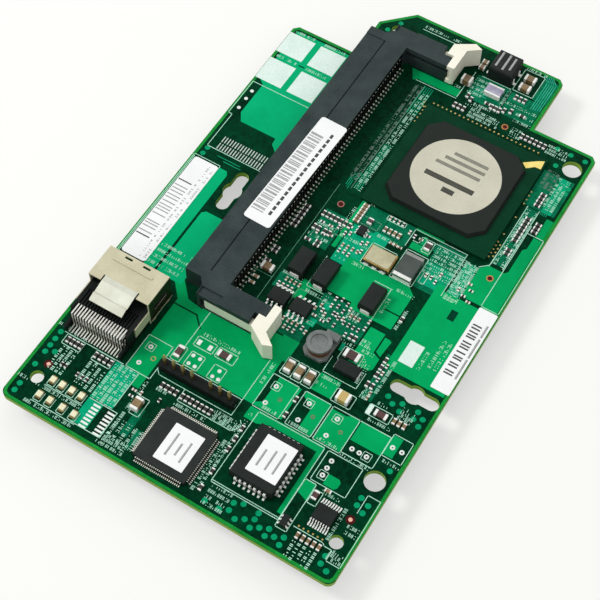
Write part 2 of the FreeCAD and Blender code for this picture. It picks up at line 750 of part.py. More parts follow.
def chip_parts():
    """The rows of little two-ended chips, as (x, y, step x, step y, count, along) rows."""
    small = (1.6, 0.8, 0.5)
    tiny = (1.1, 0.55, 0.4)
    large = (3.2, 1.7, 1.4)
    wide = (3.2, 2.5, 1.8)
    flat = (3.2, 1.6, 0.6)
    resistor_rows = [
        (31.0, 21.2, 1.28, 0, 4, "y", small), (36.5, 21.2, 1.28, 0, 7, "y", small),
        (38.2, 82.2, 1.22, 0, 7, "y", small), (38.2, 77.6, 1.22, 0, 2, "y", small),
        (41.1, 77.6, 1.25, 0, 2, "y", small), (33.6, 66.2, 0, 1.25, 2, "x", small),
        (33.6, 75.2, 0, 1.36, 6, "x", small), (69.4, 129.6, 1.28, 0, 6, "y", small),
        (49.7, 129.6, 1.3, 0, 3, "y", small), (62.3, 140.2, 1.25, 0, 3, "y", small),
        (82.4, 95.4, 0, 1.25, 2, "x", small), (82.4, 99.9, 0, 1.25, 7, "x", small),
        (82.4, 112.2, 0, 1.25, 4, "x", small), (85.4, 104.6, 0, 1.25, 3, "x", small),
        (52.7, 21.6, 0, -3.0, 3, "y", small), (59.2, 34.3, 0, -4.6, 2, "y", small),
        (52.6, 9.2, 0, -4.6, 2, "y", small), (71.9, 54.0, 0, -2.2, 3, "y", small),
        (71.3, 46.4, 1.25, 0, 2, "y", small), (38.7, 73.5, 0, 0, 1, "x", small),
        (41.4, 74.2, 0, -1.2, 2, "x", small), (69.7, 65.6, 0, 0, 1, "y", small),
        (54.9, 63.0, 0, -2.2, 4, "y", tiny), (56.6, 62.4, 0, -2.2, 4, "y", tiny),
        (58.3, 57.6, 1.3, 0, 4, "y", tiny), (61.6, 55.2, 1.2, 0, 2, "y", small),
        (32.6, 17.6, 0, 0, 1, "y", tiny), (33.6, 63.2, 0, 0, 1, "x", small),
        (51.2, 134.2, 1.3, -0.8, 2, "y", small), (61.6, 134.6, 1.7, 0.7, 2, "y", small),
        (66.5, 135.4, 0, 0, 1, "x", small), (58.3, 134.0, 1.1, 0, 3, "y", small),
        (56.9, 134.4, 0, 0, 1, "x", small),
        (12.6, 13.2, 1.3, 0, 3, "y", tiny), (7.9, 13.6, 1.1, 0, 2, "y", tiny),
        (5.4, 19.6, 1.2, 0, 4, "y", small), (13.3, 19.6, 1.4, 0, 4, "y", small)]
    capacitor_rows = [
        (46.1, 84.5, 0, 1.05, 6, "x", small), (53.6, 86.0, 1.3, 0, 4, "y", small),
        (45.4, 51.3, 1.25, 0, 4, "y", tiny), (33.6, 55.8, 0, 1.9, 2, "x", small),
        (76.8, 6.2, 1.36, 0, 5, "y", small), (77.2, 18.6, 0, 0, 1, "x", small),
        (46.9, 76.6, 1.35, 0, 4, "y", tiny), (56.9, 83.2, 1.2, 0, 3, "x", tiny),
        (58.8, 60.2, 1.1, 0, 3, "y", tiny), (50.4, 57.6, 0.9, 1.4, 2, "y", tiny),
        (81.3, 41.3, 1.3, 0, 3, "y", small), (73.0, 44.6, 0, -1.4, 2, "y", tiny),
        (40.3, 61.0, 1.2, 0, 4, "y", tiny), (62.6, 88.0, 0, 0, 1, "x", tiny),
        (29.0, 13.9, 0, 0, 1, "y", (3.2, 2.0, 1.6)),
        (53.6, 40.6, 2.8, 0, 3, "y", large), (68.5, 40.1, 0, 0, 1, "x", wide),
        (48.8, 138.1, 0, 0, 1, "x", (2.8, 2.2, 1.8)), (50.1, 144.4, 0, 1.9, 2, "x", (1.6, 1.3, 1.0)),
        (63.0, 143.9, 0, 3.3, 2, "x", (3.1, 1.9, 1.3)),
        (34.7, 61.3, 0, 0, 1, "x", (3.2, 1.9, 1.2))]
    large_resistor_rows = [
        (64.5, 50.9, 0, 0, 1, "x", (3.9, 2.2, 0.8)), (77.9, 41.1, 0, 0, 1, "x", flat),
        (29.4, 30.6, 0, 0, 1, "y", (3.2, 1.5, 0.7)), (39.0, 35.3, 0, 0, 1, "x", (3.4, 1.7, 0.7)),
        (75.3, 16.3, 0, 0, 1, "y", (2.2, 1.3, 0.6)), (65.1, 87.0, 0, 0, 1, "y", (2.4, 1.5, 0.7)),
        (49.3, 86.0, 0, 0, 1, "y", (1.8, 1.3, 0.7))]
    ends = []

    def bodies(rows):
        cores = []
        for x0, y0, step_x, step_y, count, along, size in rows:
            length, width, height = size
            cap = 0.2 * length
            for i in range(count):
                x, y = x0 + i * step_x, y0 + i * step_y
                core = block(0, 0, 0.02, length - 2 * cap, width, height - 0.04)
                pair = [block(side * (length - cap) / 2, 0, 0, cap, width, height) for side in (-1, 1)]
                degrees = 0 if along == "x" else 90
                cores.append(shifted(turned(core, degrees, 0, 0), x, y))
                ends.extend(shifted(turned(end, degrees, 0, 0), x, y) for end in pair)
        return cores

    save("chip_resistors", bodies(resistor_rows))
    save("chip_capacitors", bodies(capacitor_rows))
    save("large_chip_resistors", bodies(large_resistor_rows))
    save("chip_end_caps", ends)


# ---- stickers --------------------------------------------------------------------------------

def stickers():
    long_label = rounded_plate(1.2, 46.9, 8.3, 80.2, 0, sticker_thick, sticker_corner)
    save("long_board_label", [long_label])
    side_label = rounded_plate(board_width - 5.2, 53.6, board_width - 0.3, 78.6, 0, sticker_thick, 0.3)
    save("side_board_label", [side_label])
    x, y = socket_left + 7.8, socket_middle - 6.6
    label = rounded_plate(x - 3.8, y - 18.1, x + 3.8, y + 18.1, socket_height, sticker_thick, sticker_corner)
    save("memory_socket_label", [turned(label, -1.7, x, y)])


# ---- host connector --------------------------------------------------------------------------

def host_connector():
    """Receptacle under the board: an open tray facing down, contact strips on its long walls."""
    bottom = -board_thick - host_height
    ceiling = -board_thick - host_floor
    inner_x = host_width - 2 * host_wall
    inner_y = host_length - 2 * host_wall
    tray = block(host_x, host_y, bottom, host_width, host_length, host_height)
    hollow = block(host_x, host_y, bottom - 1, inner_x, inner_y, ceiling - bottom + 1)
    save("host_connector_body", [tray.cut(hollow)])
    thick, wide, tall = host_contact_size
    strips = []
    for side in (-1, 1):
        x = host_x + side * (inner_x - thick) / 2
        for y in places(host_y, host_contact_pitch, host_contact_count):
            strips.append(block(x, y, ceiling - tall, thick, wide, tall))
    save("host_connector_contacts", strips)


os.makedirs("parts", exist_ok=True)
circuit_board()
memory_socket_housing()
memory_socket_contacts()
latches()
drive_port_cage()
drive_port_housing()
drive_port_contacts()
grid_chip()
logic_chip()
firmware_chip()
small_chips()
pin_header()
tantalum_capacitors()
clock_oscillator()
power_choke()
drum_inductor()
transformer()
resettable_fuse()
indicator_lights()
chip_parts()
stickers()
host_connector()
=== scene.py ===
import math

import bpy
import bmesh
from mathutils import Matrix, Vector


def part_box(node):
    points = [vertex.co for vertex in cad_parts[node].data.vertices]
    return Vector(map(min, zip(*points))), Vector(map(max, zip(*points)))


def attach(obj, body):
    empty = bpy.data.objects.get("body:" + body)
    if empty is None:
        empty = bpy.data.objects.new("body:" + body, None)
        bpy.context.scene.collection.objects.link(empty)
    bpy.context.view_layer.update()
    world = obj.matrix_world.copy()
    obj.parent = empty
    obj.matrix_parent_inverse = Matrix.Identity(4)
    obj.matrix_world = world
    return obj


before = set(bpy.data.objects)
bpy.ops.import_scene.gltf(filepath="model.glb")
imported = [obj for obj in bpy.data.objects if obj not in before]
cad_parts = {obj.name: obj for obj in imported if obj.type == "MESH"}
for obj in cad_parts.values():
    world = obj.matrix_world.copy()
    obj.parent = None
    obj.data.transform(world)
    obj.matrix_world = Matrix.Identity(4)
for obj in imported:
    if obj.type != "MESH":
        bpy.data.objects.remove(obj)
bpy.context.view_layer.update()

# ---- Circuit board ----
# Glass-fibre laminate under a green solder resist. The resist looks bright where it lies over a
# copper plane and dark over bare laminate, and the sawn edge shows the yellowish glass cloth.
# Board millimetres count from the board's front left corner, and heights from its upper face.

board_low, board_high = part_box("circuit_board")
board_wide, board_long, board_thick = ((high - low) * 1000 for low, high in zip(board_low, board_high))


def on_board(x, y, height=0.0):
    """A point in board millimetres, in the frame's metres."""
    return Vector((board_low.x + x / 1000, board_low.y + y / 1000, board_high.z + height / 1000))


def extent(node):
    """A CAD node's lowest and highest corner, in board millimetres."""
    return [((corner.x - board_low.x) * 1000, (corner.y - board_low.y) * 1000, (corner.z - board_high.z) * 1000)
            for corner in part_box(node)]


def srgb(*shares):
    """A colour from three values of 0 to 255."""
    parts = [share / 255 for share in shares]
    return (*(part / 12.92 if part <= 0.04045 else ((part + 0.055) / 1.055) ** 2.4 for part in parts), 1.0)


def feed(tree, node, values):
    """Gives a node's inputs plain values, or the outputs that they take; a list joins several."""
    for label, value in values.items():
        for source in value if isinstance(value, list) else [value]:
            if isinstance(source, bpy.types.NodeSocket):
                tree.links.new(source, node.inputs[label])
            else:
                node.inputs[label].default_value = source


def add(tree, kind, values=None, **modes):
    """A new node with its modes and inputs set; what comes back is its outputs."""
    node = tree.nodes.new(kind)
    for mode, value in modes.items():
        setattr(node, mode, value)
    feed(tree, node, values or {})
    return node.outputs


def maths(tree, operation, first, second, kind="ShaderNodeMath"):
    return add(tree, kind, {0: first, 1: second}, operation=operation)[0]


def new_group(name, kind, takes, gives):
    """An empty node group, the outputs of its first node, and its last node. A socket is given the
    value that it starts with, or its sort alone."""
    group = bpy.data.node_groups.new(name, kind)
    for side, sockets in (("INPUT", takes), ("OUTPUT", gives)):
        for label, start in sockets.items():
            sort = {float: "Float", int: "Int", tuple: "Color"}.get(type(start), start)
            socket = group.interface.new_socket(name=label, in_out=side, socket_type="NodeSocket" + sort)
            if sort != start:
                socket.default_value = start
    return group, group.nodes.new("NodeGroupInput").outputs, group.nodes.new("NodeGroupOutput")


def build_mottle_group():
    """Uneven tone and fine grain, as moulded, plated and printed surfaces show close up."""
    group, given, out = new_group("surface mottle", "ShaderNodeTree", {
        "Dark": (0, 0, 0, 1), "Light": (1, 1, 1, 1), "Patch size mm": 6.0, "Grain size mm": 0.3, "Grain share": 0.3,
        "Roughness low": 0.4, "Roughness high": 0.6, "Grain height": 0.2},
        {"Color": "Color", "Roughness": "Float", "Normal": "Vector"})
    place = add(group, "ShaderNodeTexCoord")["Object"]

    def noise(label, detail):
        scale = maths(group, "DIVIDE", 1000.0, given[label])
        return add(group, "ShaderNodeTexNoise", {"Vector": place, "Scale": scale, "Detail": detail})["Fac"]

    patch, grain = noise("Patch size mm", 2.0), noise("Grain size mm", 1.0)
    blend = add(group, "ShaderNodeMix", {"Factor": given["Grain share"], "A": patch, "B": grain})["Result"]
    tone = add(group, "ShaderNodeMapRange", {"Value": blend, "From Min": 0.32, "From Max": 0.68})["Result"]
    colour = add(group, "ShaderNodeMix", {"Factor": tone, 6: given["Dark"], 7: given["Light"]}, data_type="RGBA")[2]
    rough = add(group, "ShaderNodeMapRange", {"Value": blend, "To Min": given["Roughness low"],
                                              "To Max": given["Roughness high"]})["Result"]
    normal = add(group, "ShaderNodeBump", {"Strength": given["Grain height"], "Height": grain,
                                           "Distance": 0.00003})["Normal"]
    feed(group, out, {"Color": colour, "Roughness": rough, "Normal": normal})
    return group


mottle_group = build_mottle_group()


def finish(name, dark, light, patch=6.0, grain=0.3, share=0.3, rough=(0.4, 0.6), bump=0.2, metallic=0.0,
           specular=0.5):
    """One surface finish: its two tones, the size of its patches and grain in millimetres, its gloss."""
    material = bpy.data.materials.new(name)
    material.use_nodes = True
    tree = material.node_tree
    surface = add(tree, "ShaderNodeGroup", {
        "Dark": srgb(*dark), "Light": srgb(*light), "Patch size mm": patch, "Grain size mm": grain,
        "Grain share": share, "Roughness low": rough[0], "Roughness high": rough[1], "Grain height": bump},
        node_tree=mottle_group)
    feed(tree, tree.nodes["Principled BSDF"], {
        "Base Color": surface["Color"], "Roughness": surface["Roughness"], "Normal": surface["Normal"],
        "Metallic": metallic, "Specular IOR Level": specular})
    return material


def dress(material, *nodes):
    """Gives CAD nodes their finish."""
    for node in nodes:
        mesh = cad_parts[node].data
        mesh.materials.clear()
        mesh.materials.append(material)


def piece(name, mesh, material):
    """A finished mesh becomes a piece that rides on the card."""
    made = bpy.data.objects.new(name, mesh)
    bpy.context.scene.collection.objects.link(made)
    mesh.materials.clear()
    mesh.materials.append(material)
    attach(made, "card")


def build_region_group():
    """A mask that is 1 inside a box, given by its two corners."""
    group, given, out = new_group("inside a box", "ShaderNodeTree", {"Low": "Vector", "High": "Vector"},
                                  {"Mask": "Float"})
    place = add(group, "ShaderNodeTexCoord")["Object"]
    above = maths(group, "SUBTRACT", place, given["Low"], "ShaderNodeVectorMath")
    below = maths(group, "SUBTRACT", given["High"], place, "ShaderNodeVectorMath")
    inside = maths(group, "MINIMUM", above, below, "ShaderNodeVectorMath")
    x, y, z = add(group, "ShaderNodeSeparateXYZ", {0: inside})
    least = maths(group, "MINIMUM", maths(group, "MINIMUM", x, y), z)
    feed(group, out, {"Mask": maths(group, "GREATER_THAN", least, 0.0)})
    return group


def build_facing_group():
    """A mask that is 1 on faces that lie square to an axis, and its opposite."""
    group, given, out = new_group("faces along an axis", "ShaderNodeTree", {"Axis": "Vector"},
                                  {"Square": "Float", "Other": "Float"})
    normal = add(group, "ShaderNodeNewGeometry")["Normal"]
    lean = add(group, "ShaderNodeVectorMath", {0: normal, 1: given["Axis"]}, operation="DOT_PRODUCT")["Value"]
    size = add(group, "ShaderNodeMath", {0: lean}, operation="ABSOLUTE")[0]
    feed(group, out, {"Square": maths(group, "GREATER_THAN", size, 0.6),
                      "Other": maths(group, "LESS_THAN", size, 0.6)})
    return group


region_group, facing_group = build_region_group(), build_facing_group()


def tone_over(material, group, mask, values, colour, blend="MULTIPLY"):
    """Lays a second colour over a finish, or multiplies by it, where a group's mask says."""
    tree = material.node_tree
    base = tree.nodes["Principled BSDF"].inputs["Base Color"]
    where = add(tree, "ShaderNodeGroup", values, node_tree=group)[mask]
    mixed = add(tree, "ShaderNodeMix", {"Factor": where, 6: base.links[0].from_socket, 7: colour},
                data_type="RGBA", blend_type=blend)
    tree.links.new(mixed[2], base)


def tone_inside(material, low, high, colour, blend="MULTIPLY"):
    """The second colour lies between two corners, in board millimetres."""
    tone_over(material, region_group, "Mask", {"Low": on_board(*low), "High": on_board(*high)}, colour, blend)


def tone_facing(material, axis, mask, colour):
    """The second colour lies on the faces square to an axis, or on all the others."""
    tone_over(material, facing_group, mask, {"Axis": axis}, colour)


resist_dark = finish("solder resist over laminate", (0, 34, 18), (0, 62, 36), patch=9, grain=1.1, share=0.5,
                     rough=(0.34, 0.46), bump=0.12, specular=0.02)
edge_skin = 0.04
tone_inside(resist_dark, (-1, -1, edge_skin - board_thick), (board_wide + 1, board_long + 1, -edge_skin),
            srgb(146, 184, 74), "MIX")
dress(resist_dark, "circuit_board")

# ---- Copper planes ----
# Sheets of copper foil etched on the board. The green resist over them is smooth and bright, and
# narrow gaps of bare laminate part them. Fields of fine tracks look teal between the planes.

plane_film = 0.02        # how high the foil and its resist stand over the board
overlap_step = 0.0004    # each shape is this much higher than the last, so that no two share a plane


def pairs(numbers):
    """Points from a row of board millimetres that goes x, y, x, y."""
    return list(zip(numbers[::2], numbers[1::2]))


def corners(shape):
    """A shape's corners, from its row of numbers or from two opposite corners of a rectangle."""
    if len(shape) > 4:
        return pairs(shape)
    x0, y0, x1, y1 = shape
    return [(x0, y0), (x1, y0), (x1, y1), (x0, y1)]


def beside(ring):
    """The places in a closed ring, each with the next."""
    return [(i, (i + 1) % len(ring)) for i in range(len(ring))]


def flat_shapes(name, outlines, material, top=plane_film, bottom=0):
    """Closed flat shapes from their outlines, each from one height to another."""
    mesh = bpy.data.meshes.new(name)
    build = bmesh.new()
    for step, outline in enumerate(outlines):
        ring = corners(outline)
        if sum(a[0] * b[1] - b[0] * a[1] for a, b in zip(ring, ring[1:] + ring[:1])) <= 0:
            ring = ring[::-1]
        low, high = ([build.verts.new(on_board(x, y, height)) for x, y in ring]
                     for height in (bottom, top + step * overlap_step))
        build.faces.new(low[::-1])
        build.faces.new(high)
        for i, j in beside(ring):
            build.faces.new((low[i], low[j], high[j], high[i]))
    build.to_mesh(mesh)
    build.free()
    piece(name, mesh, material)


copper_look = dict(patch=16, grain=1.6, share=0.2, rough=(0.34, 0.42), bump=0.08, specular=0.02)
# The planes on the far left get a lighter copy of the resist's colour: painted glare from the lamp on the left.
flat_shapes("left_copper_planes", [
    (3.4, 98.2, 5, 95.6, 15.6, 95.6, 15.8, 93.6, 18, 91.6, 20, 91.6, 20, 129.6, 1.6, 129.6, 1.6, 110.4, 3.4,
     108.9), (8.2, 46.2, 11.3, 46.2, 11.3, 79.2, 10.6, 80.3, 8.2, 80.3),
    (12, 46.2, 19.4, 46.2, 19.4, 67.3, 12.9, 67.3, 12, 66.4)],
    finish("solder resist over copper, far side, painted glare", (0, 160, 104), (6, 178, 118), **copper_look))
flat_shapes("copper_planes", [
    (20.9, 21.1, 24.5, 21.1, 24.5, 17.6, 26.7, 17.6, 26.7, 27, 27.8, 28.2, 51.2, 28.2, 51.2, 44.6, 47.6, 47,
     31.6, 47, 27.4, 43.2, 23.2, 43.8, 17.6, 49.8, 16.6, 47.4, 20.9, 42.6),
    (51.4, 28.2, 59, 28.2, 59, 37.4, 53, 37.4, 53, 30, 51.4, 29),
    (63.4, 28.2, 66.9, 28.2, 66.9, 37.6, 60.3, 37.6, 60.3, 36.2, 63.4, 34.2),
    (67.6, 28.2, 74.6, 28.2, 74.6, 37.6, 72.6, 37.6, 71.4, 36.8, 67.6, 36.8), (75, 32.2, 82.7, 37.6),
    (83, 33, 85.4, 38.4),
    (51.2, 24.4, 54.6, 24.4, 57.6, 25.6, 70, 25.6, 70, 8.6, 71.2, 8.6, 71.2, 27.6, 51.2, 27.6),
    (71.3, 15.2, 74.2, 14.2, 74.2, 18.6, 71.3, 18.6),
    (75.2, 19.6, 78, 19.6, 78.6, 20.4, 78.6, 21.8, 78, 22.4, 75.2, 22.4),
    (49.8, 63.6, 57, 63.6, 57, 62, 68.7, 62, 68.7, 73, 66.8, 74.6, 49.8, 74.6),
    (43.9, 57.4, 46.6, 57.4, 46.6, 62.2, 49.4, 62.2, 49.4, 63.4, 43.9, 63.4),
    (64.3, 49.6, 69.6, 49.6, 70.4, 50.4, 70.4, 53.6, 68.3, 54.4, 68.3, 60.2, 64.3, 60.2),
    (68.7, 55, 70.2, 54.2, 70.6, 59, 70, 59.4, 68.7, 59.4),
    (72.3, 52.6, 84.4, 52.6, 88, 52.6, 88, 79, 84, 79, 84, 78, 72.3, 78), (60.6, 38.6, 66, 43.6),
    (78.6, 79, 88.2, 79, 88.2, 103.2, 86, 103.2, 86, 99.4, 85.2, 98.6, 85.2, 91, 84.4, 90.2, 80.2, 90.2, 78.6,
     88.4), (86.3, 103.4, 88.2, 110), (34.2, 134.9, 36.2, 131.4, 37.2, 132.3, 48.9, 132.3, 48.9, 134.9),
    (44.5, 75, 45.6, 91.4), (60, 90, 67.8, 91.3), (61, 84.6, 66.4, 86.6), (63, 86.8, 63.9, 89.4),
    (72.2, 76.4, 74.2, 79.2), (47.8, 41.4, 52.2, 47.6)],
    finish("solder resist over copper", (0, 148, 82), (2, 168, 96), **copper_look))
field_look = dict(patch=2.4, grain=0.5, share=0.5, rough=(0.34, 0.46), bump=0.1, specular=0.02)
flat_shapes("track_fields", [
    (45.8, 75.4, 52.8, 90.6), (53, 83, 59.8, 90.6), (67, 75.4, 74.4, 89.8), (75, 76, 78.3, 88.2),
    (45, 47.4, 52, 54), (50.2, 54.2, 63.8, 62.6), (38, 57.8, 43.6, 62.4), (60.6, 133.6, 69.8, 141.6),
    (50.4, 133.6, 60, 142), (66.2, 142, 70.2, 150), (29.4, 6, 31.4, 14), (32.4, 3.6, 33.6, 9),
    (71.4, 42.8, 74.2, 56), (79, 111.2, 87.6, 123.4), (80.6, 91.4, 83.6, 110.8), (38, 73, 44, 84)],
    finish("resist over fine tracks", (0, 86, 56), (8, 124, 86), **field_look), plane_film * 0.8)
flat_shapes("track_grids", [
    (18.3, 3, 22.4, 10), (18.3, 10.2, 24.6, 20.9), (67.2, 77, 74.2, 83.6), (75.2, 77.4, 78.2, 88),
    (51.8, 80.4, 56, 84.4), (46.2, 71.6, 52.8, 83.6), (51.8, 58.6, 53.4, 60.8), (50.8, 52.8, 52.6, 55),
    (60.8, 50.8, 61.6, 53), (84, 111.2, 86.6, 123.2)],
    finish("resist over a track grid", (0, 146, 102), (10, 174, 128), **field_look))

# ---- Board margin ----
# No copper reaches the board's edge, so a paler band of resist over bare glass cloth runs all
# round it, from just inside the sawn edge.

resist_film = 0.012
margin_from, margin_to = 0.06, 0.85
margin = finish("resist at the margin", (8, 120, 42), (28, 152, 60), patch=5, grain=0.6, share=0.4,
                rough=(0.3, 0.45), bump=0.1, specular=0.05)
board_edge = pairs([
    2, 0, 87.1, 0, 88.5, 0.6, 89.1, 2, 89.1, 132.2, 87.8, 133.5, 70.9, 133.5, 70.9, 150.7, 69.6, 152, 26.4, 152,
    18.7, 144.3, 18.7, 131.1, 1.3, 131.1, 0, 129.8, 0, 2, 0.6, 0.6])


def inset(points, distance):
    """The same closed outline, moved inwards by a distance."""
    moved = []
    for i, corner in enumerate(points):
        here = Vector(corner)
        before = (here - Vector(points[i - 1])).normalized()
        after = (Vector(points[(i + 1) % len(points)]) - here).normalized()
        normals = Vector((-before.y, before.x)) + Vector((-after.y, after.x))
        moved.append(here + normals * distance / (1 + before.dot(after)))
    return moved


margin_mesh = bpy.data.meshes.new("board_margin")
rim = bmesh.new()
rings = [[rim.verts.new(on_board(*spot, height)) for spot in inset(board_edge, distance)]
         for distance, height in ((margin_from, 0), (margin_from, resist_film), (margin_to, resist_film),
                                  (margin_to, 0))]
for lower, upper in zip(rings, rings[1:] + rings[:1]):
    for i, j in beside(board_edge):
        rim.faces.new((lower[i], lower[j], upper[j], upper[i]))
rim.to_mesh(margin_mesh)
rim.free()
piece("board_margin", margin_mesh, margin)

# ---- Printed lines ----
# Mint-white epoxy ink, screened on the resist and baked: boxes round the parts, and the frames of
# places that are left unused. Some of it is thinner and shows the green through.


def new_shape_tree(name, sizes):
    """The start of a geometry tree, with named sizes and the finish of what it makes."""
    return new_group(name, "GeometryNodeTree", {"Geometry": "Geometry", **sizes, "Finish": "Material"},
                     {"Geometry": "Geometry"})


def end_shape_tree(tree, given, out, shape):
    """The end of a geometry tree: its shapes are made real and get their finish."""
    real = add(tree, "GeometryNodeRealizeInstances", {"Geometry": shape})["Geometry"]
    coat = add(tree, "GeometryNodeSetMaterial", {"Geometry": real, "Material": given["Finish"]})["Geometry"]
    feed(tree, out, {"Geometry": coat})
    return tree


def build_line_tree():
    """Turns loose edges into flat ink strips."""
    tree, given, out = new_shape_tree("ink strips", {"Width": 0.0002, "Thickness": 0.00003})
    path = add(tree, "GeometryNodeMeshToCurve", {"Mesh": given["Geometry"]})["Curve"]
    level = add(tree, "GeometryNodeSetCurveNormal", {"Curve": path}, mode="Z_UP")["Curve"]
    section = add(tree, "GeometryNodeCurvePrimitiveQuadrilateral",
                  {"Width": given["Width"], "Height": given["Thickness"]})["Curve"]
    strip = add(tree, "GeometryNodeCurveToMesh",
                {"Curve": level, "Profile Curve": section, "Fill Caps": True})["Mesh"]
    return end_shape_tree(tree, given, out, strip)


line_tree = build_line_tree()


def from_nodes(name, points, edges, tree, sizes, material, slot, **choices):
    """Runs a geometry tree, with sizes in millimetres, and keeps the result as a plain mesh."""
    seed_mesh = bpy.data.meshes.new(name + "_seed")
    seed_mesh.from_pydata(points, edges, [])
    seed = bpy.data.objects.new(name + "_seed", seed_mesh)
    bpy.context.scene.collection.objects.link(seed)
    modifier = seed.modifiers.new("make", "NODES")
    modifier.node_group = tree
    values = {label: size / 1000 for label, size in sizes.items()} | {"Finish": material} | choices
    for socket in tree.interface.items_tree:
        if socket.item_type == "SOCKET" and socket.in_out == "INPUT" and socket.name in values:
            modifier[socket.identifier] = values[socket.name]
    bpy.context.view_layer.update()
    evaluated = seed.evaluated_get(bpy.context.evaluated_depsgraph_get())
    mesh = bpy.data.meshes.new_from_object(evaluated)
    mesh.name = name
    bpy.data.objects.remove(seed)
    piece(name, mesh, material)


ink_film = 0.03


def printed_lines(name, paths, width, material, slot="board", on=None, thick=ink_film):
    """Ink strips on the board or on a node. A list is an open run, and a tuple is two opposite
    corners of a closed frame."""
    bottom = extent(on)[1][2] if on else plane_film
    points, edges = [], []
    for step, path in enumerate(paths):
        run = pairs(path) if isinstance(path, list) else corners(path) + [path[:2]]
        lift = bottom + thick / 2 + step * overlap_step
        for a, b in zip(run, run[1:]):
            along = (Vector(b) - Vector(a)).normalized() * width / 2
            points += [on_board(*end, lift) for end in (Vector(a) - along, Vector(b) + along)]
            edges.append((len(points) - 2, len(points) - 1))
    from_nodes(name, points, edges, line_tree, {"Width": width, "Thickness": thick}, material, slot)


def screened(name, dark, light, bump=0.25):
    return finish(name, dark, light, patch=2.0, grain=0.25, share=0.6, rough=(0.5, 0.7), bump=bump)


ink = screened("screened ink", (150, 214, 184), (196, 240, 218))
part_frames = [
    (20.7, 21.1, 27.5, 30.9), [27.5, 27.8, 48.7, 27.8], [27.5, 24.4, 28.7, 23.2, 48.7, 23.2],
    [48.7, 23.2, 48.7, 40], [29.7, 30.9, 29.7, 45], (51.3, 27.9, 58.3, 37.5), (60.1, 27.9, 66.9, 37.5),
    (67.5, 27.9, 74.6, 37.5), (74.6, 28.5, 82.8, 37.5), (82.9, 32.6, 87.9, 38.7), (53.6, 7.1, 71.2, 27.3),
    [53.6, 7.6, 71.2, 7.6], (72.2, 19.2, 81.2, 27.3), (71.3, 5.6, 74.2, 18.7),
    [85.3, 17.6, 85.3, 22.5, 88.5, 22.5], [88.5, 22.5, 88.5, 4.5, 85, 4.5, 85, 7.2, 83, 7.2, 82.4, 7.7, 75, 7.7],
    (84, 79, 88.6, 103.6), [84, 103.6, 84, 106], [80.4, 90.2, 80.4, 94], [78.4, 88.6, 80.2, 90.3],
    [80.5, 91, 80.5, 111], [83.7, 91, 83.7, 111], [78.2, 91.2, 78.2, 126], [44.6, 91.4, 52.4, 91.4],
    [69.4, 91.6, 78.2, 91.6], [0.6, 108.6, 20, 108.6], [0.6, 108.6, 0.6, 96.5, 1.8, 96.5, 1.8, 84.7, 20, 84.7],
    [0.5, 46.5, 0.5, 80.8, 8.3, 80.8, 8.3, 79.6], [0.9, 46.5, 0.9, 80.2], [3.4, 21.1, 20, 21.1],
    [36, 23.2, 36, 19.8, 50.6, 19.8, 51.9, 21.2, 51.9, 22.4, 51.2, 23.2], (31, 34, 36.2, 36.8),
    (36.9, 34, 42, 36.8), (28.3, 28.2, 30.7, 32.5), (31.9, 28.4, 35.6, 32.5), (38.3, 28.4, 41.7, 32.4),
    (61.8, 48.6, 67, 52.5), [60.6, 48.6, 60.6, 44, 69.6, 44, 69.6, 48.6], (74.4, 39.8, 80.4, 42.6),
    (52.1, 38.4, 54.9, 43.2), (55, 38.4, 57.7, 43.2), (57.8, 38.4, 60.5, 43.2), (65.9, 38.5, 71, 42.1),
    (52.9, 74.6, 59.8, 81.2), (61, 74.8, 67, 84), [45.3, 71.8, 45.3, 62, 50, 62], [58.8, 71.8, 63.6, 71.8],
    [63.4, 71.8, 63.4, 62], (60.2, 142.3, 66, 150.3), [30.2, 148.2, 41.4, 148.2], [49.3, 142.4, 49.3, 137],
    [51.4, 142.1, 59.8, 142.1], [48.9, 132.4, 48.9, 136.8], [37, 131.8, 48.9, 131.8],
    [18.4, 2.7, 26.2, 2.7, 26.2, 9.9], [18.6, 9.9, 26.2, 9.9], (28.2, 11.5, 30.8, 16.4), [24.6, 21.1, 24.6, 11],
    (4.3, 18.2, 9.4, 21), (12.8, 18.2, 17.9, 21), [7.2, 2.4, 19.4, 2.4], [7.7, 7.2, 18, 7.2],
    (74.4, 14, 76.6, 17.6), [60, 84.6, 60, 90.2, 74.4, 90.2], [74.4, 90, 74.4, 76.6],
    [61, 86.9, 62.6, 86.9, 62.6, 89, 74.4, 89], (64, 85.2, 66.2, 89), (52.3, 88.9, 57.4, 90.4),
    (67.8, 77, 69.2, 80.4)]
light_spots = [(x, 9.1) for x in (8.8, 11.4, 14.1, 16.8)] + [(x, 4.4) for x in (8.3, 11.3, 14.8, 18.1)]
part_frames += [[x - 0.95, y + 0.9, x - 0.95, y - 1.55, x + 0.95, y - 1.55, x + 0.95, y + 0.9]
                for x, y in light_spots]
printed_lines("printed_frames", part_frames, 0.2, ink)
printed_lines("faint_frames", [
    [37, 52.6, 37, 92], [31.4, 59.6, 37, 59.6], [40, 92.6, 40, 131], [44.2, 55.4, 44.2, 60.4, 52.6, 60.4],
    [38.6, 73, 38.6, 78.4, 44.4, 78.4], (46.2, 84.6, 52, 87)],
    0.16, screened("thin screened ink", (58, 128, 98), (108, 172, 142), 0.2))
framed_pads = [(22.9, 28.3), (53.6, 34.9), (62.4, 35.1), (69.9, 35.1), (80.3, 30.4), (74.1, 21.4)]
printed_lines("printed_pad_frames", [(x - 1.05, y - 1.05, x + 1.05, y + 1.05) for x, y in framed_pads], 0.16, ink)

# ---- Tracks ----
# Narrow copper lines etched on the board, under the resist. They run in bundles between the
# connectors and the large chip.


def bundle(run, count, *steps):
    """A run repeated side by side, a step along x and y further each time."""
    return [[number + i * steps[place % 2] for place, number in enumerate(run)] for i in range(count)]


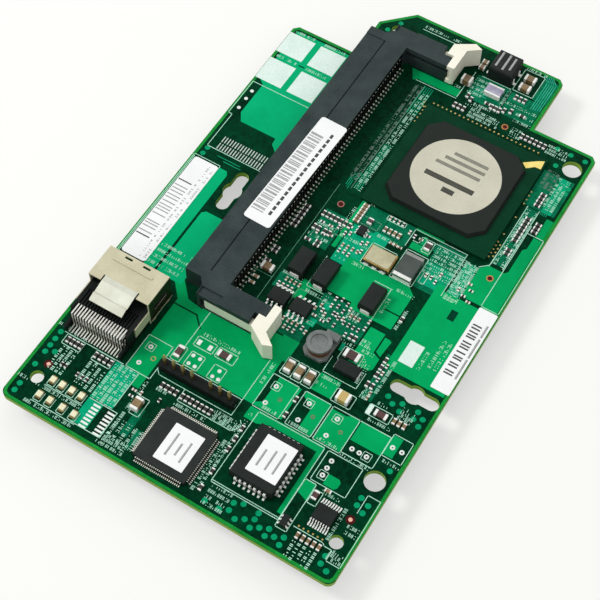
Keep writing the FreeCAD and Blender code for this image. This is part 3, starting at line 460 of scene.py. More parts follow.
track_film = 0.012
bundle_rows = [
    ([75.2, 88.4, 75.2, 79], 7, 0.5, 0), ([66.8, 84, 73.8, 84], 9, 0, -0.55), ([62.8, 87, 74, 87], 4, 0, 0.5),
    ([40.6, 93, 40.6, 109], 4, 0.5, 0), ([40.2, 121, 40.2, 131], 5, 0.6, 0), ([60.6, 139, 66, 139], 4, 0, 0.6),
    ([50.6, 135, 55, 139.4, 55, 141.6], 4, 0.7, -0.2), ([38.2, 93, 38.2, 96, 40, 98], 3, 0.5, -0.5),
    ([84.2, 110.4, 84.2, 118.2], 4, 0.5, 0), ([6, 83.2, 12.6, 83.2], 1, 0, 0), ([8.2, 82.4, 13.2, 82.4], 1, 0, 0)]
bundles = [run for sizes in bundle_rows for run in bundle(*sizes)]
printed_lines("tracks", bundles, 0.22,
              finish("resist over tracks", (10, 138, 96), (30, 170, 124), patch=3, grain=0.5, share=0.4,
                     rough=(0.3, 0.4), bump=0.1, specular=0.03), thick=track_film)
wing_bundles = bundle([65.4, 150.9, 67.2, 149.1, 67.2, 139], 5, 0.6, 0.1) + bundle([51.6, 136, 55.6, 136], 5, 0, 0.7)
printed_lines("wing_tracks", wing_bundles, 0.24,
              finish("resist over wing tracks", (24, 158, 122), (64, 198, 160), patch=3, grain=0.5, share=0.4,
                     rough=(0.3, 0.4), specular=0.05), thick=track_film)

# ---- Pads, vias and test points ----
# Tinned rings with drilled holes, plain soldered pads, gilt via dots, and test points that the resist
# covers. Each is copper foil with its coat, and stands a few hundredths of a millimetre high.


def build_dot_tree(name, ring):
    """Sets a flat disc, or a flat ring, on every point of the seed."""
    tree, given, out = new_shape_tree(name, {"Radius": 0.0005, "Ring width": 0.0003, "Thickness": 0.00003})
    if ring:
        path = add(tree, "GeometryNodeCurvePrimitiveCircle", {"Resolution": 14, "Radius": given["Radius"]})["Curve"]
        section = add(tree, "GeometryNodeCurvePrimitiveQuadrilateral",
                      {"Width": given["Ring width"], "Height": given["Thickness"]})["Curve"]
        shape = add(tree, "GeometryNodeCurveToMesh", {"Curve": path, "Profile Curve": section})["Mesh"]
    else:
        shape = add(tree, "GeometryNodeMeshCylinder",
                    {"Vertices": 12, "Radius": given["Radius"], "Depth": given["Thickness"]})["Mesh"]
    spread = add(tree, "GeometryNodeInstanceOnPoints", {"Points": given["Geometry"], "Instance": shape})
    return end_shape_tree(tree, given, out, spread["Instances"])


disc_tree = build_dot_tree("flat discs", False)
ring_tree = build_dot_tree("flat rings", True)


def dots(name, spots, radius, material, ring=0.0, thick=0.05):
    """Flat discs, or rings of a given width, at spots in board millimetres."""
    sizes = {"Radius": radius - ring / 2, "Ring width": ring, "Thickness": thick}
    from_nodes(name, [on_board(x, y, thick / 2) for x, y in spots], [], ring_tree if ring else disc_tree, sizes,
               material, "board")


def row(x, y, step_x, step_y, count):
    return [(x + i * step_x, y + i * step_y) for i in range(count)]


def pad_finish(name, dark, light, **more):
    return finish(name, dark, light, patch=1.0, grain=0.2, rough=(0.3, 0.5), **more)


soldered = pad_finish("soldered pad", (210, 216, 210), (246, 250, 246), share=0.5)
pad_gold = pad_finish("gilt via", (150, 128, 62), (206, 184, 112), share=0.5, metallic=0.4)
pad_red = pad_finish("ring centre", (60, 6, 12), (84, 16, 18), share=0.5, specular=0.1)
dots("drilled_pads", [
    (22.9, 28.3), (22.9, 23.4), (53.6, 34.9), (53.6, 30), (62.4, 35.1), (62.3, 30.2), (69.9, 35.1), (69.8, 30.2),
    (76.5, 30.4), (78.4, 30.4), (80.3, 30.4), (74.1, 25.4), (74.1, 23.4), (74.1, 21.4), (84.2, 35.5), (86.6, 35.5)],
    0.64, soldered, ring=0.42)
dots("dull_pads", [(56.1, 32.4), (64.8, 32.6), (72.2, 32.6)], 0.56,
     pad_finish("bare hole ring", (84, 116, 78), (132, 142, 96)), ring=0.34, thick=0.03)
dots("plain_pads", [(2.1, 105.6), (2.1, 102.7), (2.1, 99.2)] + row(32.7, 31.6, 1.9, 0, 2)
     + row(32.9, 29.3, 1.7, 0, 2) + row(39.5, 29.3, 1.6, 0, 2) + [(40.2, 31.3)], 0.5, soldered)
copper_spots, amber_spots = [(40.3, 86.9)], [(64.2, 130.2), (82.2, 87.1)]
dots("copper_rings", copper_spots, 0.92,
     pad_finish("copper ring", (164, 102, 88), (206, 144, 128), share=0.5, specular=0.2), ring=0.22)
dots("amber_rings", amber_spots, 0.92, pad_finish("amber ring", (176, 106, 50), (214, 148, 84)), ring=0.3)
dots("ring_centres", amber_spots + copper_spots, 0.66, pad_red, thick=0.04)
dots("gilt_rings", [(25.2, 26)], 0.66, pad_gold, ring=0.22)
mark_spots = [(5.2, 12), (84.8, 15.5)]
dots("mark_rings", mark_spots, 1.1, pad_red, thick=0.03)
dots("mark_dots", mark_spots, 0.5, pad_finish("mark centre", (226, 160, 136), (246, 196, 172)), thick=0.045)
gold_vias = (row(44.8, 127.3, 1.27, 0, 25) + row(75.9, 8.3, 1.2, 0, 6) + row(79, 92.6, 0, 1.25, 5)
             + row(79.9, 93.2, 0, 1.25, 4) + row(79.3, 111.2, 0, 1.4, 4) + row(43.4, 119.6, 0, 1.4, 5)
             + [(79.2, 100.4), (79.4, 106.4), (42.4, 126.4), (43, 125), (46.2, 71), (58.2, 54.2), (41, 12)])
dots("gold_vias", gold_vias, 0.24, pad_gold)
dots("test_points", [
    (2.5, 20.5), (2.5, 18.3), (2.5, 16.3), (2.5, 14.3), (2.5, 10.4), (2.5, 4.5), (2.5, 2.5), (4.5, 15.4),
    (60.8, 3.4), (63, 2.3), (64.9, 3.4), (66.9, 2.3), (68.7, 3.4), (70.7, 2.4), (70.7, 4.3), (72.6, 3.3),
    (74.5, 2.3), (74.5, 4.3), (66.8, 4.5), (66.8, 6.2), (62.8, 6.3), (60.8, 5.4), (84.4, 3.4), (84.4, 5.4),
    (86.3, 2.5), (58.7, 2.5), (55, 2.5), (84.3, 21.2), (84.3, 19.2), (86.5, 20.3), (86.3, 18.2), (86.5, 30.1),
    (76.9, 46.3), (78.7, 45.1), (80.7, 46.3), (84.8, 46.3), (86.6, 45.2), (86.6, 43.1), (84.7, 44.2), (81, 44.2),
    (2.2, 82), (2.3, 84), (82.8, 131), (86.8, 131), (79, 131), (80.9, 126), (86.8, 121), (86.8, 119.3), (22, 143),
    (24, 146.8)],
    0.72, finish("covered test point", (0, 136, 90), (10, 164, 112), patch=2.0, share=0.5, rough=(0.3, 0.4),
                 specular=0.03), thick=0.03)

pad_film = 0.04


def pads(name, spots, material):
    """Soldered rectangles; each spot is its middle and half its size both ways."""
    flat_shapes(name, [(x - wide, y - high, x + wide, y + high) for x, y, wide, high in spots], material, pad_film)


narrow_leads = row(4.4, 86, 0.8, 0, 20) + row(4.4, 88.4, 0.8, 0, 20)
pads("bare_chip_pads", [(*spot, 0.14, 1) for spot in narrow_leads],
     pad_finish("tinned pad", (150, 166, 156), (216, 226, 220), share=0.5, bump=0.2, metallic=0.4))
wide_leads = row(21.2, 3, 0, 1, 7) + row(25.1, 3, 0, 1, 7)
pads("bare_wide_pads", [(*spot, 0.95, 0.27) for spot in wide_leads] + [(x, 35.3, 0.5, 0.7) for x in (32, 35)],
     soldered)
j_pitch, small_pitch = 1.27, 0.635
toes = [(x + j_pitch * (i - 1.5), y, 0.3, 0.3) for x in (41.6, 47.65) for y in (52.4, 58.6) for i in range(4)]
toes += [(79.6 + small_pitch * (i - 3.5), y, 0.18, 0.35) for y in (9.85, 16.55) for i in range(8)]
pads("lead_toe_pads", toes, soldered)
(j_left, j_front, _), (j_right, j_back, _) = extent("firmware_chip_leads")
j_x, j_y = (j_left + j_right) / 2, (j_front + j_back) / 2
j_pads = [(j_x + j_pitch * i, y, 0.26, 0.28) for i in range(-3, 4) for y in (j_front - 0.2, j_back + 0.2)]
j_pads += [(x, j_y + j_pitch * i, 0.28, 0.26) for i in range(-4, 5) for x in (j_left - 0.2, j_right + 0.2)]
pads("j_lead_pads", j_pads + [(x, 74.85, 0.65, 0.45) for x in (54.4, 56.7, 59)], soldered)

# ---- Printed marks ----
# Short plain strokes in the same ink, in rows where the print lists the parts, and solid blocks
# left white for written marks. All are screened on the resist.


def build_stroke_tree():
    """Sets small strokes at even steps along the seed's edges, leaving some out."""
    tree, given, out = new_shape_tree("stroke rows", {
        "Pitch": 0.0006, "Height": 0.0009, "Stroke": 0.00018, "Thickness": 0.00003, "Kept share": 0.85, "Seed": 1})
    pitch, tall, stroke, seed = (given[label] for label in ("Pitch", "Height", "Stroke", "Seed"))

    def times(socket, factor):
        return maths(tree, "MULTIPLY", socket, factor)

    def bar(size_x, size_y, shift_x, shift_y):
        size = add(tree, "ShaderNodeCombineXYZ", {0: size_x, 1: size_y, 2: given["Thickness"]})[0]
        block = add(tree, "GeometryNodeMeshCube", {"Size": size})["Mesh"]
        shift = add(tree, "ShaderNodeCombineXYZ", {0: times(pitch, shift_x), 1: times(tall, shift_y)})[0]
        return add(tree, "GeometryNodeTransform", {"Geometry": block, "Translation": shift})["Geometry"]

    wide = times(pitch, 0.4)
    upright, top, foot = bar(stroke, tall, -0.25, 0), bar(wide, stroke, 0.12, 0.4), bar(wide, stroke, 0.12, -0.4)
    short, second = bar(stroke, times(tall, 0.55), -0.1, -0.2), bar(stroke, tall, 0.2, 0)
    shapes = [[upright], [upright, second], [short], [top, foot], [upright, second]]
    whole = [add(tree, "GeometryNodeJoinGeometry", {0: shape})[0] for shape in shapes]
    pool = add(tree, "GeometryNodeJoinGeometry",
               {0: [add(tree, "GeometryNodeGeometryToInstance", {0: shape})[0] for shape in whole]})[0]
    path = add(tree, "GeometryNodeMeshToCurve", {"Mesh": given["Geometry"]})["Curve"]
    points = add(tree, "GeometryNodeCurveToPoints", {"Curve": path, "Length": pitch}, mode="LENGTH")
    aim = add(tree, "FunctionNodeAlignRotationToVector", {"Vector": points["Tangent"]}, axis="X", pivot_axis="Z")[0]
    kept = add(tree, "FunctionNodeRandomValue", {"Probability": given["Kept share"], "Seed": seed},
               data_type="BOOLEAN")[3]
    pick = add(tree, "FunctionNodeRandomValue", {4: 0, 5: len(shapes) - 1, "Seed": seed}, data_type="INT")[2]
    spread = add(tree, "GeometryNodeInstanceOnPoints", {
        "Points": points["Points"], "Selection": kept, "Instance": pool, "Pick Instance": True,
        "Instance Index": pick, "Rotation": aim})
    return end_shape_tree(tree, given, out, spread["Instances"])


stroke_tree = build_stroke_tree()
stroke_lift = 0.02


def stroke_rows(name, rows, material, slot="board", pitch=0.58, tall=0.85, stroke=0.13, kept=0.92, seed=1, on=None):
    """Rows of small strokes. A row says which way it runs, from where to where, and where it lies;
    a block of rows also says where its last one lies and how many there are."""
    bottom = extent(on)[1][2] if on else plane_film
    points = []
    for way, start, end, first, *block in rows:
        last, count = block or (first, 1)
        for i in range(count):
            at = first + (last - first) * i / max(count - 1, 1)
            for along in (start, end):
                points.append(on_board(*((along, at) if way == "x" else (at, along)), bottom + stroke_lift))
    from_nodes(name, points, [(i, i + 1) for i in range(0, len(points), 2)], stroke_tree,
               {"Pitch": pitch, "Height": tall, "Stroke": stroke, "Thickness": ink_film}, material, slot,
               **{"Kept share": kept, "Seed": seed})


stroke_rows("left_marks", [
    ("x", 8.5, 17.4, 53.7, 48, 4), ("y", 10.4, 20.6, 18.9, 23.9, 5), ("x", 4.6, 9.2, 21.8), ("x", 6, 18, 6.5),
    ("x", 6, 19, 1.7), ("y", 3, 9, 27.3, 33.8, 5), ("x", 0.9, 3.4, 6.4), ("x", 1, 4.2, 22.4),
    ("x", 1.5, 7, 119.5), ("x", 10.6, 17, 119.5), ("x", 1.5, 7, 129.3), ("x", 10.6, 17, 129.3),
    ("y", 1.4, 20.2, 27.4)],
    ink, seed=3)
stroke_rows("light_marks", [
    ("y", 11.4, 17.8, 5.4, 9, 4), ("y", 11.4, 17.8, 13.3, 17.5, 4), ("y", 0.9, 4.6, 76.8, 82.2, 5)],
    ink, pitch=0.8, tall=0.75, stroke=0.2, kept=0.96, seed=4)
stroke_rows("front_marks", [
    ("x", 45, 48, 22.2, 20.4, 3), ("x", 48.4, 52.2, 22.2, 20.4, 3), ("x", 30.4, 33, 20), ("x", 36, 44, 18.9),
    ("y", 3.4, 17, 51, 52.1, 2), ("x", 54.5, 59.5, 6.6, 2, 4), ("x", 84.9, 87.9, 7.1, 5.3, 3),
    ("x", 85.2, 88.3, 13.9, 12.3, 2), ("x", 53.8, 57, 28.8), ("x", 32, 36.5, 37.8), ("x", 37, 41.5, 37.8),
    ("y", 34, 39.5, 50), ("x", 44, 48, 25.7), ("x", 76, 81.5, 38.9), ("x", 76, 80.5, 18), ("x", 75, 82, 28),
    ("y", 9, 17, 82.8), ("x", 84, 88, 31.6), ("x", 61, 65.5, 28.7), ("x", 68.5, 73.5, 28.7), ("y", 9, 26, 52.3)],
    ink, seed=5)
stroke_rows("middle_marks", [
    ("x", 47, 49.4, 73.2), ("x", 51.5, 54.6, 73.5), ("x", 64.8, 69, 72.4), ("y", 65, 69, 64.3),
    ("y", 60, 63, 51.3), ("x", 58, 60.6, 61.5, 59.5, 3), ("x", 64.5, 67.2, 56, 54.9, 2), ("x", 66, 68.6, 53.6),
    ("x", 67.4, 69.2, 51.4, 49.5, 3), ("y", 45.5, 48.4, 68.8), ("x", 61.3, 66, 42.9), ("x", 61, 63.6, 40.8),
    ("x", 71.4, 73.2, 45, 43, 3), ("y", 45.6, 55, 74), ("x", 76, 78.2, 43.6), ("x", 81.5, 84.6, 45.3, 42.7, 4),
    ("y", 58, 66, 81.3, 82.8, 2), ("y", 56, 61, 79.3), ("x", 38, 42.8, 51.6), ("x", 38.6, 43.6, 62.6),
    ("y", 62.8, 68.5, 69.5), ("x", 38, 43, 75.4), ("x", 38, 43, 79.4), ("x", 45, 53, 79), ("x", 53, 58, 83.6),
    ("y", 80, 88, 44), ("x", 46, 50, 60.9), ("x", 52, 55, 56.4), ("x", 47, 52, 53.6), ("x", 60, 63.4, 53.4)],
    ink, seed=7)
stroke_rows("dense_marks", [
    ("x", 67.4, 78.2, 88.2, 80.6, 7), ("y", 93, 128.5, 41, 42.2, 2), ("x", 54.2, 62.2, 130.8, 128.6, 3),
    ("x", 66.2, 69, 130.8, 128.6, 3), ("x", 76.8, 82.2, 130.8, 128.6, 3), ("y", 112.6, 122.8, 83.8, 86.2, 3),
    ("y", 76.4, 88, 75.4, 78.2, 4), ("y", 91.6, 110, 81.2, 83.2, 2), ("x", 26.2, 32.8, 4.2, 1.9, 3)],
    ink, pitch=0.6, tall=0.8, stroke=0.14, kept=0.94, seed=9)
stroke_rows("back_marks", [
    ("x", 30.6, 41, 149.4), ("x", 60.6, 66, 151), ("x", 50.4, 54, 140.6, 135.8, 4), ("x", 60, 64.6, 137.6),
    ("x", 65, 69.6, 137.6, 133.4, 3), ("x", 54, 58.6, 132.8), ("y", 133, 141.6, 59.9), ("x", 44, 48, 135.6),
    ("x", 52, 56, 131.8)],
    ink, seed=11)
stroke_rows("grey_marks", [("y", 95.5, 130.5, 38.2, 39.6, 2), ("y", 118.2, 123.8, 80.4, 82.8, 3)],
            screened("grey ink", (62, 92, 78), (108, 136, 122)), pitch=0.6, stroke=0.17, kept=0.97, seed=13)
flat_shapes("white_blocks", [
    (0.12, 110.3, 8, 118.2), (9.8, 110.3, 17.5, 118.2), (0.12, 120.8, 8, 128.4), (9.8, 120.8, 17.5, 128.4),
    (74.2, 55.6, 78, 62), (74.4, 39.9, 75.5, 42.5)],
    finish("white ink block", (206, 228, 218), (226, 242, 234), patch=4.0, grain=0.4, share=0.5, rough=(0.5, 0.7)),
    plane_film + ink_film, plane_film)
dark_gap = finish("dark gap in a plane", (0, 48, 30), (2, 70, 46), patch=3.0, grain=0.4, share=0.5,
                  rough=(0.3, 0.4), specular=0.02)
printed_lines("plane_gaps", [
    [21, 41.2, 27.3, 41.2, 30, 38.5], [64.6, 66.2, 68.6, 66.2], [64.8, 60.9, 70.6, 60.9], [8.2, 119.5, 9.6, 119.5]],
    0.4, dark_gap, thick=track_film)
flat_shapes("keyhole_surround", [(78.5, 71.6, 80.3, 74.6)], dark_gap, plane_film + 0.01, plane_film)

# ---- Grid chip ----
# A laminate base on solder balls, a black moulded cap with cut corners, and a round nickel-plated
# heat spreader set flush in the cap.

dress(finish("chip laminate", (2, 48, 28), (8, 62, 38), patch=8, grain=0.8, rough=(0.3, 0.42), specular=0.03),
      "raid_chip_base")
dress(finish("moulded cap", (16, 24, 20), (26, 34, 29), patch=7, grain=0.25, rough=(0.5, 0.62), specular=0.2),
      "raid_chip_cap")
dress(finish("nickel face", (190, 188, 168), (208, 206, 186), patch=9, grain=0.4, share=0.4, rough=(0.55, 0.7),
             bump=0.12, specular=0.4), "raid_chip_heat_slug")


def tin_finish(name, dark, light, **more):
    return finish(name, dark, light, patch=1.2, grain=0.2, share=0.5, rough=(0.3, 0.45), bump=0.15, **more)


dress(tin_finish("tinned metal", (196, 200, 194), (236, 238, 232), metallic=0.3), "raid_chip_balls")

# ---- Memory socket ----
# A slate-coloured moulding with an arm at each end, tinned contacts pressed in along its length,
# and two ivory latches that turn on stub pivots inside the arms.

(strip_left, strip_front, _), (strip_right, strip_back, strip_top) = extent("memory_socket_contacts")
socket_face = strip_right - 1.0
lip = extent("memory_socket_housing")[1][2] - 0.4
slate = finish("slate moulding", (36, 47, 47), (56, 68, 67), patch=5, grain=0.35, share=0.4, rough=(0.42, 0.58),
               bump=0.35, specular=0.15)
# Deep in the slot the moulding gets next to no light.
tone_inside(slate, (strip_left, strip_front - 0.6, -1), (socket_face + 0.1, strip_back + 0.6, lip),
            (0.08, 0.09, 0.08, 1))
dress(slate, "memory_socket_housing")
strip_metal = tin_finish("contact strip", (206, 206, 190), (240, 240, 228))
# Painted shade darkens the contacts in the slot, at their sides and at the roots of their tails, and a little at the
# toes.
strip_front, strip_back = strip_front - 1, strip_back + 1
tone_inside(strip_metal, (strip_left - 1, strip_front, 0.28), (strip_right + 1, strip_back, strip_top - 0.3),
            (0.03, 0.035, 0.03, 1))
tone_facing(strip_metal, (0, 1, 0), "Square", (0.04, 0.045, 0.04, 1))
tone_inside(strip_metal, (socket_face + 0.2, strip_front, -1), (strip_right - 0.3, strip_back, 0.4),
            (0.06, 0.07, 0.06, 1))
tone_inside(strip_metal, (strip_right - 0.3, strip_front, -1), (strip_right + 1, strip_back, 0.4),
            (0.62, 0.66, 0.6, 1))
dress(strip_metal, "memory_socket_contacts")
dress(finish("ivory moulding", (236, 232, 212), (248, 245, 230), patch=8, grain=0.3, share=0.3,
             rough=(0.38, 0.52), bump=0.15), "lower_latch", "upper_latch")

# ---- Drive port ----
# A folded cage of plated steel over a black moulding that holds two rows of fine tinned leads. The
# leads are soldered to the board, and the cage's tabs go through it.

_, (cage_side, _, cage_roof) = extent("drive_port_cage")
cage_metal = finish("satin plated steel", (190, 184, 154), (214, 208, 180), patch=6, grain=0.3, share=0.3,
                    rough=(0.38, 0.52), bump=0.1, metallic=0.3, specular=0.3)
# The wall towards the pin header is in shade, and the spring tongue reflects a bluer light.
tone_inside(cage_metal, (cage_side - 0.25, 33.6, 0.7), (cage_side + 0.1, 60, cage_roof - 0.6),
            (0.03, 0.03, 0.015, 1))
tone_inside(cage_metal, (6.2, 20, 0), (15.7, 34.9, cage_roof + 0.1), (1.05, 1.14, 1.36, 1))
dress(cage_metal, "drive_port_cage")
black_moulding = finish("black moulding", (12, 18, 16), (24, 30, 27), patch=5, grain=0.3, rough=(0.45, 0.6),
                        specular=0.12)
dress(black_moulding, "drive_port_housing")
port_tin = tin_finish("port lead tin", (206, 206, 196), (240, 240, 232))
# Painted shade darkens the leads' sides, and the leads are also darker where they stand upright.
tone_facing(port_tin, (1, 0, 0), "Square", (0.04, 0.045, 0.04, 1))
tone_inside(port_tin, (0, 20, 1), (22, 25.4, 3.4), (0.45, 0.42, 0.4, 1))
dress(port_tin, "drive_port_contacts")

# ---- Leaded chips ----
# Black moulded resin bodies with fine tinned leads, which are soldered to the board's face. Painted
# shade darkens the leads' sides, where they stand close together.

resin_look = dict(patch=4, grain=0.22, bump=0.3, specular=0.2)
dress(finish("chip resin", (16, 23, 21), (29, 36, 33), rough=(0.48, 0.62), **resin_look), "firmware_chip_body",
      "small_chip_bodies", "tantalum_capacitor_bodies", "transformer_body")
dress(finish("chip resin, matt", (25, 32, 30), (39, 46, 43), rough=(0.5, 0.64), **resin_look), "logic_chip_body")
bright_tin = tin_finish("bright tin", (222, 225, 218), (250, 250, 246))
dress(bright_tin, "small_chip_leads", "tantalum_capacitor_ends", "transformer_leads", "resettable_fuse_ends",
      "chip_end_caps")
j_tin = tin_finish("J lead tin", (222, 225, 218), (250, 250, 246))
# Painted shade darkens the leads where they turn in under the body.
tone_inside(j_tin, (j_left - 1, j_front - 1, 0.25), (j_right + 1, j_back + 1, 1.25), (0.12, 0.12, 0.11, 1))
dress(j_tin, "firmware_chip_leads")
fine_tin = tin_finish("fine lead tin", (216, 216, 200), (246, 246, 234))
# Painted shade darkens all but the top faces of the fine leads, and a narrow band across the front and right rows.
tone_facing(fine_tin, (0, 0, 1), "Other", (0.1, 0.1, 0.07, 1))
(fine_left, fine_front, _), (fine_right, fine_back, _) = extent("logic_chip_leads")
for low, high in (((fine_left, fine_front + 0.42), (fine_right, fine_front + 0.68)),
                  ((fine_right - 0.68, fine_front), (fine_right - 0.42, fine_back))):
    tone_inside(fine_tin, (*low, -1), (*high, 2), (0.08, 0.08, 0.06, 1))
dress(fine_tin, "logic_chip_leads")

# ---- Pin header ----
# Square gilt pins pressed through a black base and soldered under the board. The fifth place is
# left empty as a key.

pin_tip = extent("pin_header_pins")[1][2]
pin_gilt = finish("gilt pins, dull, with painted shade below the tips", (164, 142, 84), (216, 194, 130), patch=1.5, grain=0.2, rough=(0.22, 0.36),
                  metallic=0.6)
# Painted shade darkens the pins below their tips, so only the tips look bright.
tone_inside(pin_gilt, (20, 20, -10), (60, 60, pin_tip - 2.3), (0.3, 0.26, 0.2, 1))
dress(pin_gilt, "pin_header_pins")
dress(black_moulding, "pin_header_base")

# ---- Power and timing parts ----
# An oscillator under a metal lid, a ferrite choke, a drum inductor wound with copper, lights, a
# resettable fuse, and chip resistors and capacitors with tinned ends, all soldered to the board.

clock_base = finish("oscillator base", (176, 136, 62), (206, 170, 94), patch=3, grain=0.3)
tone_facing(clock_base, (0, 1, 0), "Square", (0.1, 0.1, 0.08, 1))
dress(clock_base, "clock_oscillator_base")
dress(finish("oscillator lid", (168, 163, 128), (194, 189, 156), patch=2.5, rough=(0.35, 0.5), metallic=0.2,
             specular=0.3), "clock_oscillator_lid")
choke_end = tin_finish("choke end", (212, 214, 208), (244, 244, 240))
# Painted shade darkens the back end cap, and a dark line is laid across the front cap between 1.2 and 1.75 mm up.
tone_inside(choke_end, (60, 80, -1), (70, 84, 5), (0.3, 0.31, 0.3, 1))
tone_inside(choke_end, (60, 70, 1.2), (70, 76, 1.75), (0.05, 0.04, 0.03, 1))
dress(choke_end, "power_choke_ends")
dress(finish("choke ferrite", (60, 68, 64), (78, 86, 82), patch=3, specular=0.25), "power_choke_body")
dress(finish("drum ferrite", (84, 90, 88), (122, 128, 126), patch=3, grain=0.35, share=0.4), "drum_inductor_core")
dress(finish("enamelled copper", (92, 50, 26), (140, 84, 44), patch=1, grain=0.2, rough=(0.3, 0.45), metallic=0.5),
      "drum_inductor_winding")
dress(finish("light lens", (224, 217, 176), (244, 239, 208), patch=1.5, grain=0.2, rough=(0.3, 0.45)),
      "indicator_lights")
dress(finish("light ends", (98, 84, 44), (150, 132, 78), patch=1.0, grain=0.2, rough=(0.3, 0.45)),
      "indicator_light_ends")
dress(finish("fuse face", (134, 128, 150), (176, 172, 190), patch=2.0, rough=(0.3, 0.45), metallic=0.4),
      "resettable_fuse_body")
dress(finish("resistor glaze", (26, 24, 24), (50, 42, 40), patch=2.2), "chip_resistors")
dress(finish("large resistor glaze", (44, 36, 34), (86, 50, 46), patch=4), "large_chip_resistors")
capacitor_ceramic = finish("capacitor ceramic", (100, 78, 48), (148, 124, 84), patch=3.5)
# One larger capacitor is of a paler ceramic.
tone_inside(capacitor_ceramic, (66.2, 38.6, 0), (70.8, 42, 4), srgb(192, 168, 100), "MIX")
dress(capacitor_ceramic, "chip_capacitors")

# The middles of small loose parts; those marked x lie along the board's front edge.
loose_parts = [
    (45.6, 79.8), (46.8, 80.4), (50.6, 79.4), (51.8, 80), (51.7, 77.2), (45.9, 82.2, "x"), (51, 82, "x"),
    (53.1, 89.6), (54.3, 89.6), (55.5, 89.6), (56.7, 89.6), (59.2, 88.4), (60.8, 88), (71.6, 81.6), (71.4, 79),
    (68.6, 79.6), (70, 79.6), (78.9, 83, "x"), (80, 81.4, "x"), (77.2, 80.2), (79, 79.2, "x"), (80.8, 78.2, "x"),
    (53.4, 62.4), (53.4, 60.2), (52.2, 58), (53.2, 57.2), (55.8, 58.6), (57.6, 58.4), (53.6, 55.4, "x"),
    (51.2, 55.8, "x"), (63.4, 58.8), (63.4, 61), (60.2, 55), (57.8, 61.6), (45.4, 49.4), (46.7, 49.4),
    (47.9, 49.4), (49.2, 49.4), (50.6, 51.2), (51.8, 50.6), (39.2, 59), (40.4, 59), (41.6, 59), (42.8, 59),
    (72.9, 52.8), (72.9, 50.6), (72.8, 48.6), (26.2, 16.8, "x"), (26.4, 15.2, "x"), (28, 16.9), (39.2, 79.8, "x"),
    (41.6, 79.8, "x"), (43.4, 80.6), (47.4, 91, "x"), (46.9, 74.7), (48.2, 75), (49.5, 74.7), (43, 77.4, "x"),
    (41.2, 76.8, "x"), (39.6, 76.6)]


def little_part(spot, low, high, half_width):
    """The outline of a stretch of a part, between two distances from its middle."""
    x, y, *along_x = spot
    if along_x:
        return (x + low, y - half_width, x + high, y + half_width)
    return (x - half_width, y + low, x + half_width, y + high)


end_middle, end_reach, end_half_width, end_height = 0.42, 0.16, 0.3, 0.36
body_reach, body_half_width, body_height = 0.26, 0.27, 0.33
flat_shapes("little_part_ends", [little_part(spot, side - end_reach, side + end_reach, end_half_width)
                                 for spot in loose_parts for side in (-end_middle, end_middle)],
            bright_tin, end_height)
for name, first, slot, material in (
        ("little_part_bodies", 0, "ceramic", finish("little resistor glaze", (20, 20, 20), (44, 38, 36), patch=2.2)),
        ("little_capacitor_bodies", 1, "brown_ceramic",
         finish("little capacitor ceramic", (96, 70, 50), (140, 112, 84), patch=2.2))):
    flat_shapes(name, [little_part(spot, -body_reach, body_reach, body_half_width)
                       for spot in loose_parts[first::2]], material, body_height)

# ---- Host connector ----
# A black moulded receptacle, soldered under the board, with gilt strips on its long walls.
# It carries the card on its host.

dress(black_moulding, "host_connector_body")
dress(finish("gilt pins", (178, 150, 84), (222, 198, 130), patch=1.5, grain=0.2, rough=(0.22, 0.36), metallic=0.9),
      "host_connector_contacts")

# ---- Stickers ----
# White paper stickers, pressed on with their own glue, with plain bars in place of print. The
# moulded parts and the heat spreader carry plain bars too.

dress(finish("sticker paper", (236, 238, 237), (247, 248, 248), patch=9, share=0.5, rough=(0.6, 0.75), bump=0.1,
             specular=0.3), "long_board_label", "side_board_label", "memory_socket_label", "logic_chip_label",
      "firmware_chip_label")


def print_finish(name, dark, light, **more):
    return finish(name, dark, light, patch=2.0, rough=(0.5, 0.7), **more)


label_ink = print_finish("sticker print", (150, 152, 152), (176, 178, 178), share=0.5)
label_dark = print_finish("sticker print, dark", (52, 54, 54), (78, 80, 80), share=0.5)
slug_ink = print_finish("slug print", (118, 118, 104), (140, 140, 126), share=0.5)
slug_dark = print_finish("slug print, dark", (52, 52, 44), (74, 74, 64), share=0.5)


def bars(x0, x1, heights):
    return [[x0, y, x1, y] for y in heights]


def posts(*runs):
    return [[x, y0, x, y1] for x, y0, y1 in runs]


def askew(runs, degrees=-1.7, x=27.8, y=85.9):
    """The same runs, turned about a point, as the socket's label was put on by hand."""
    cosine, sine = math.cos(math.radians(degrees)), math.sin(math.radians(degrees))
    return [[number for a, b in pairs(run)
             for number in (x + (a - x) * cosine - (b - y) * sine, y + (a - x) * sine + (b - y) * cosine)]
            for run in runs]


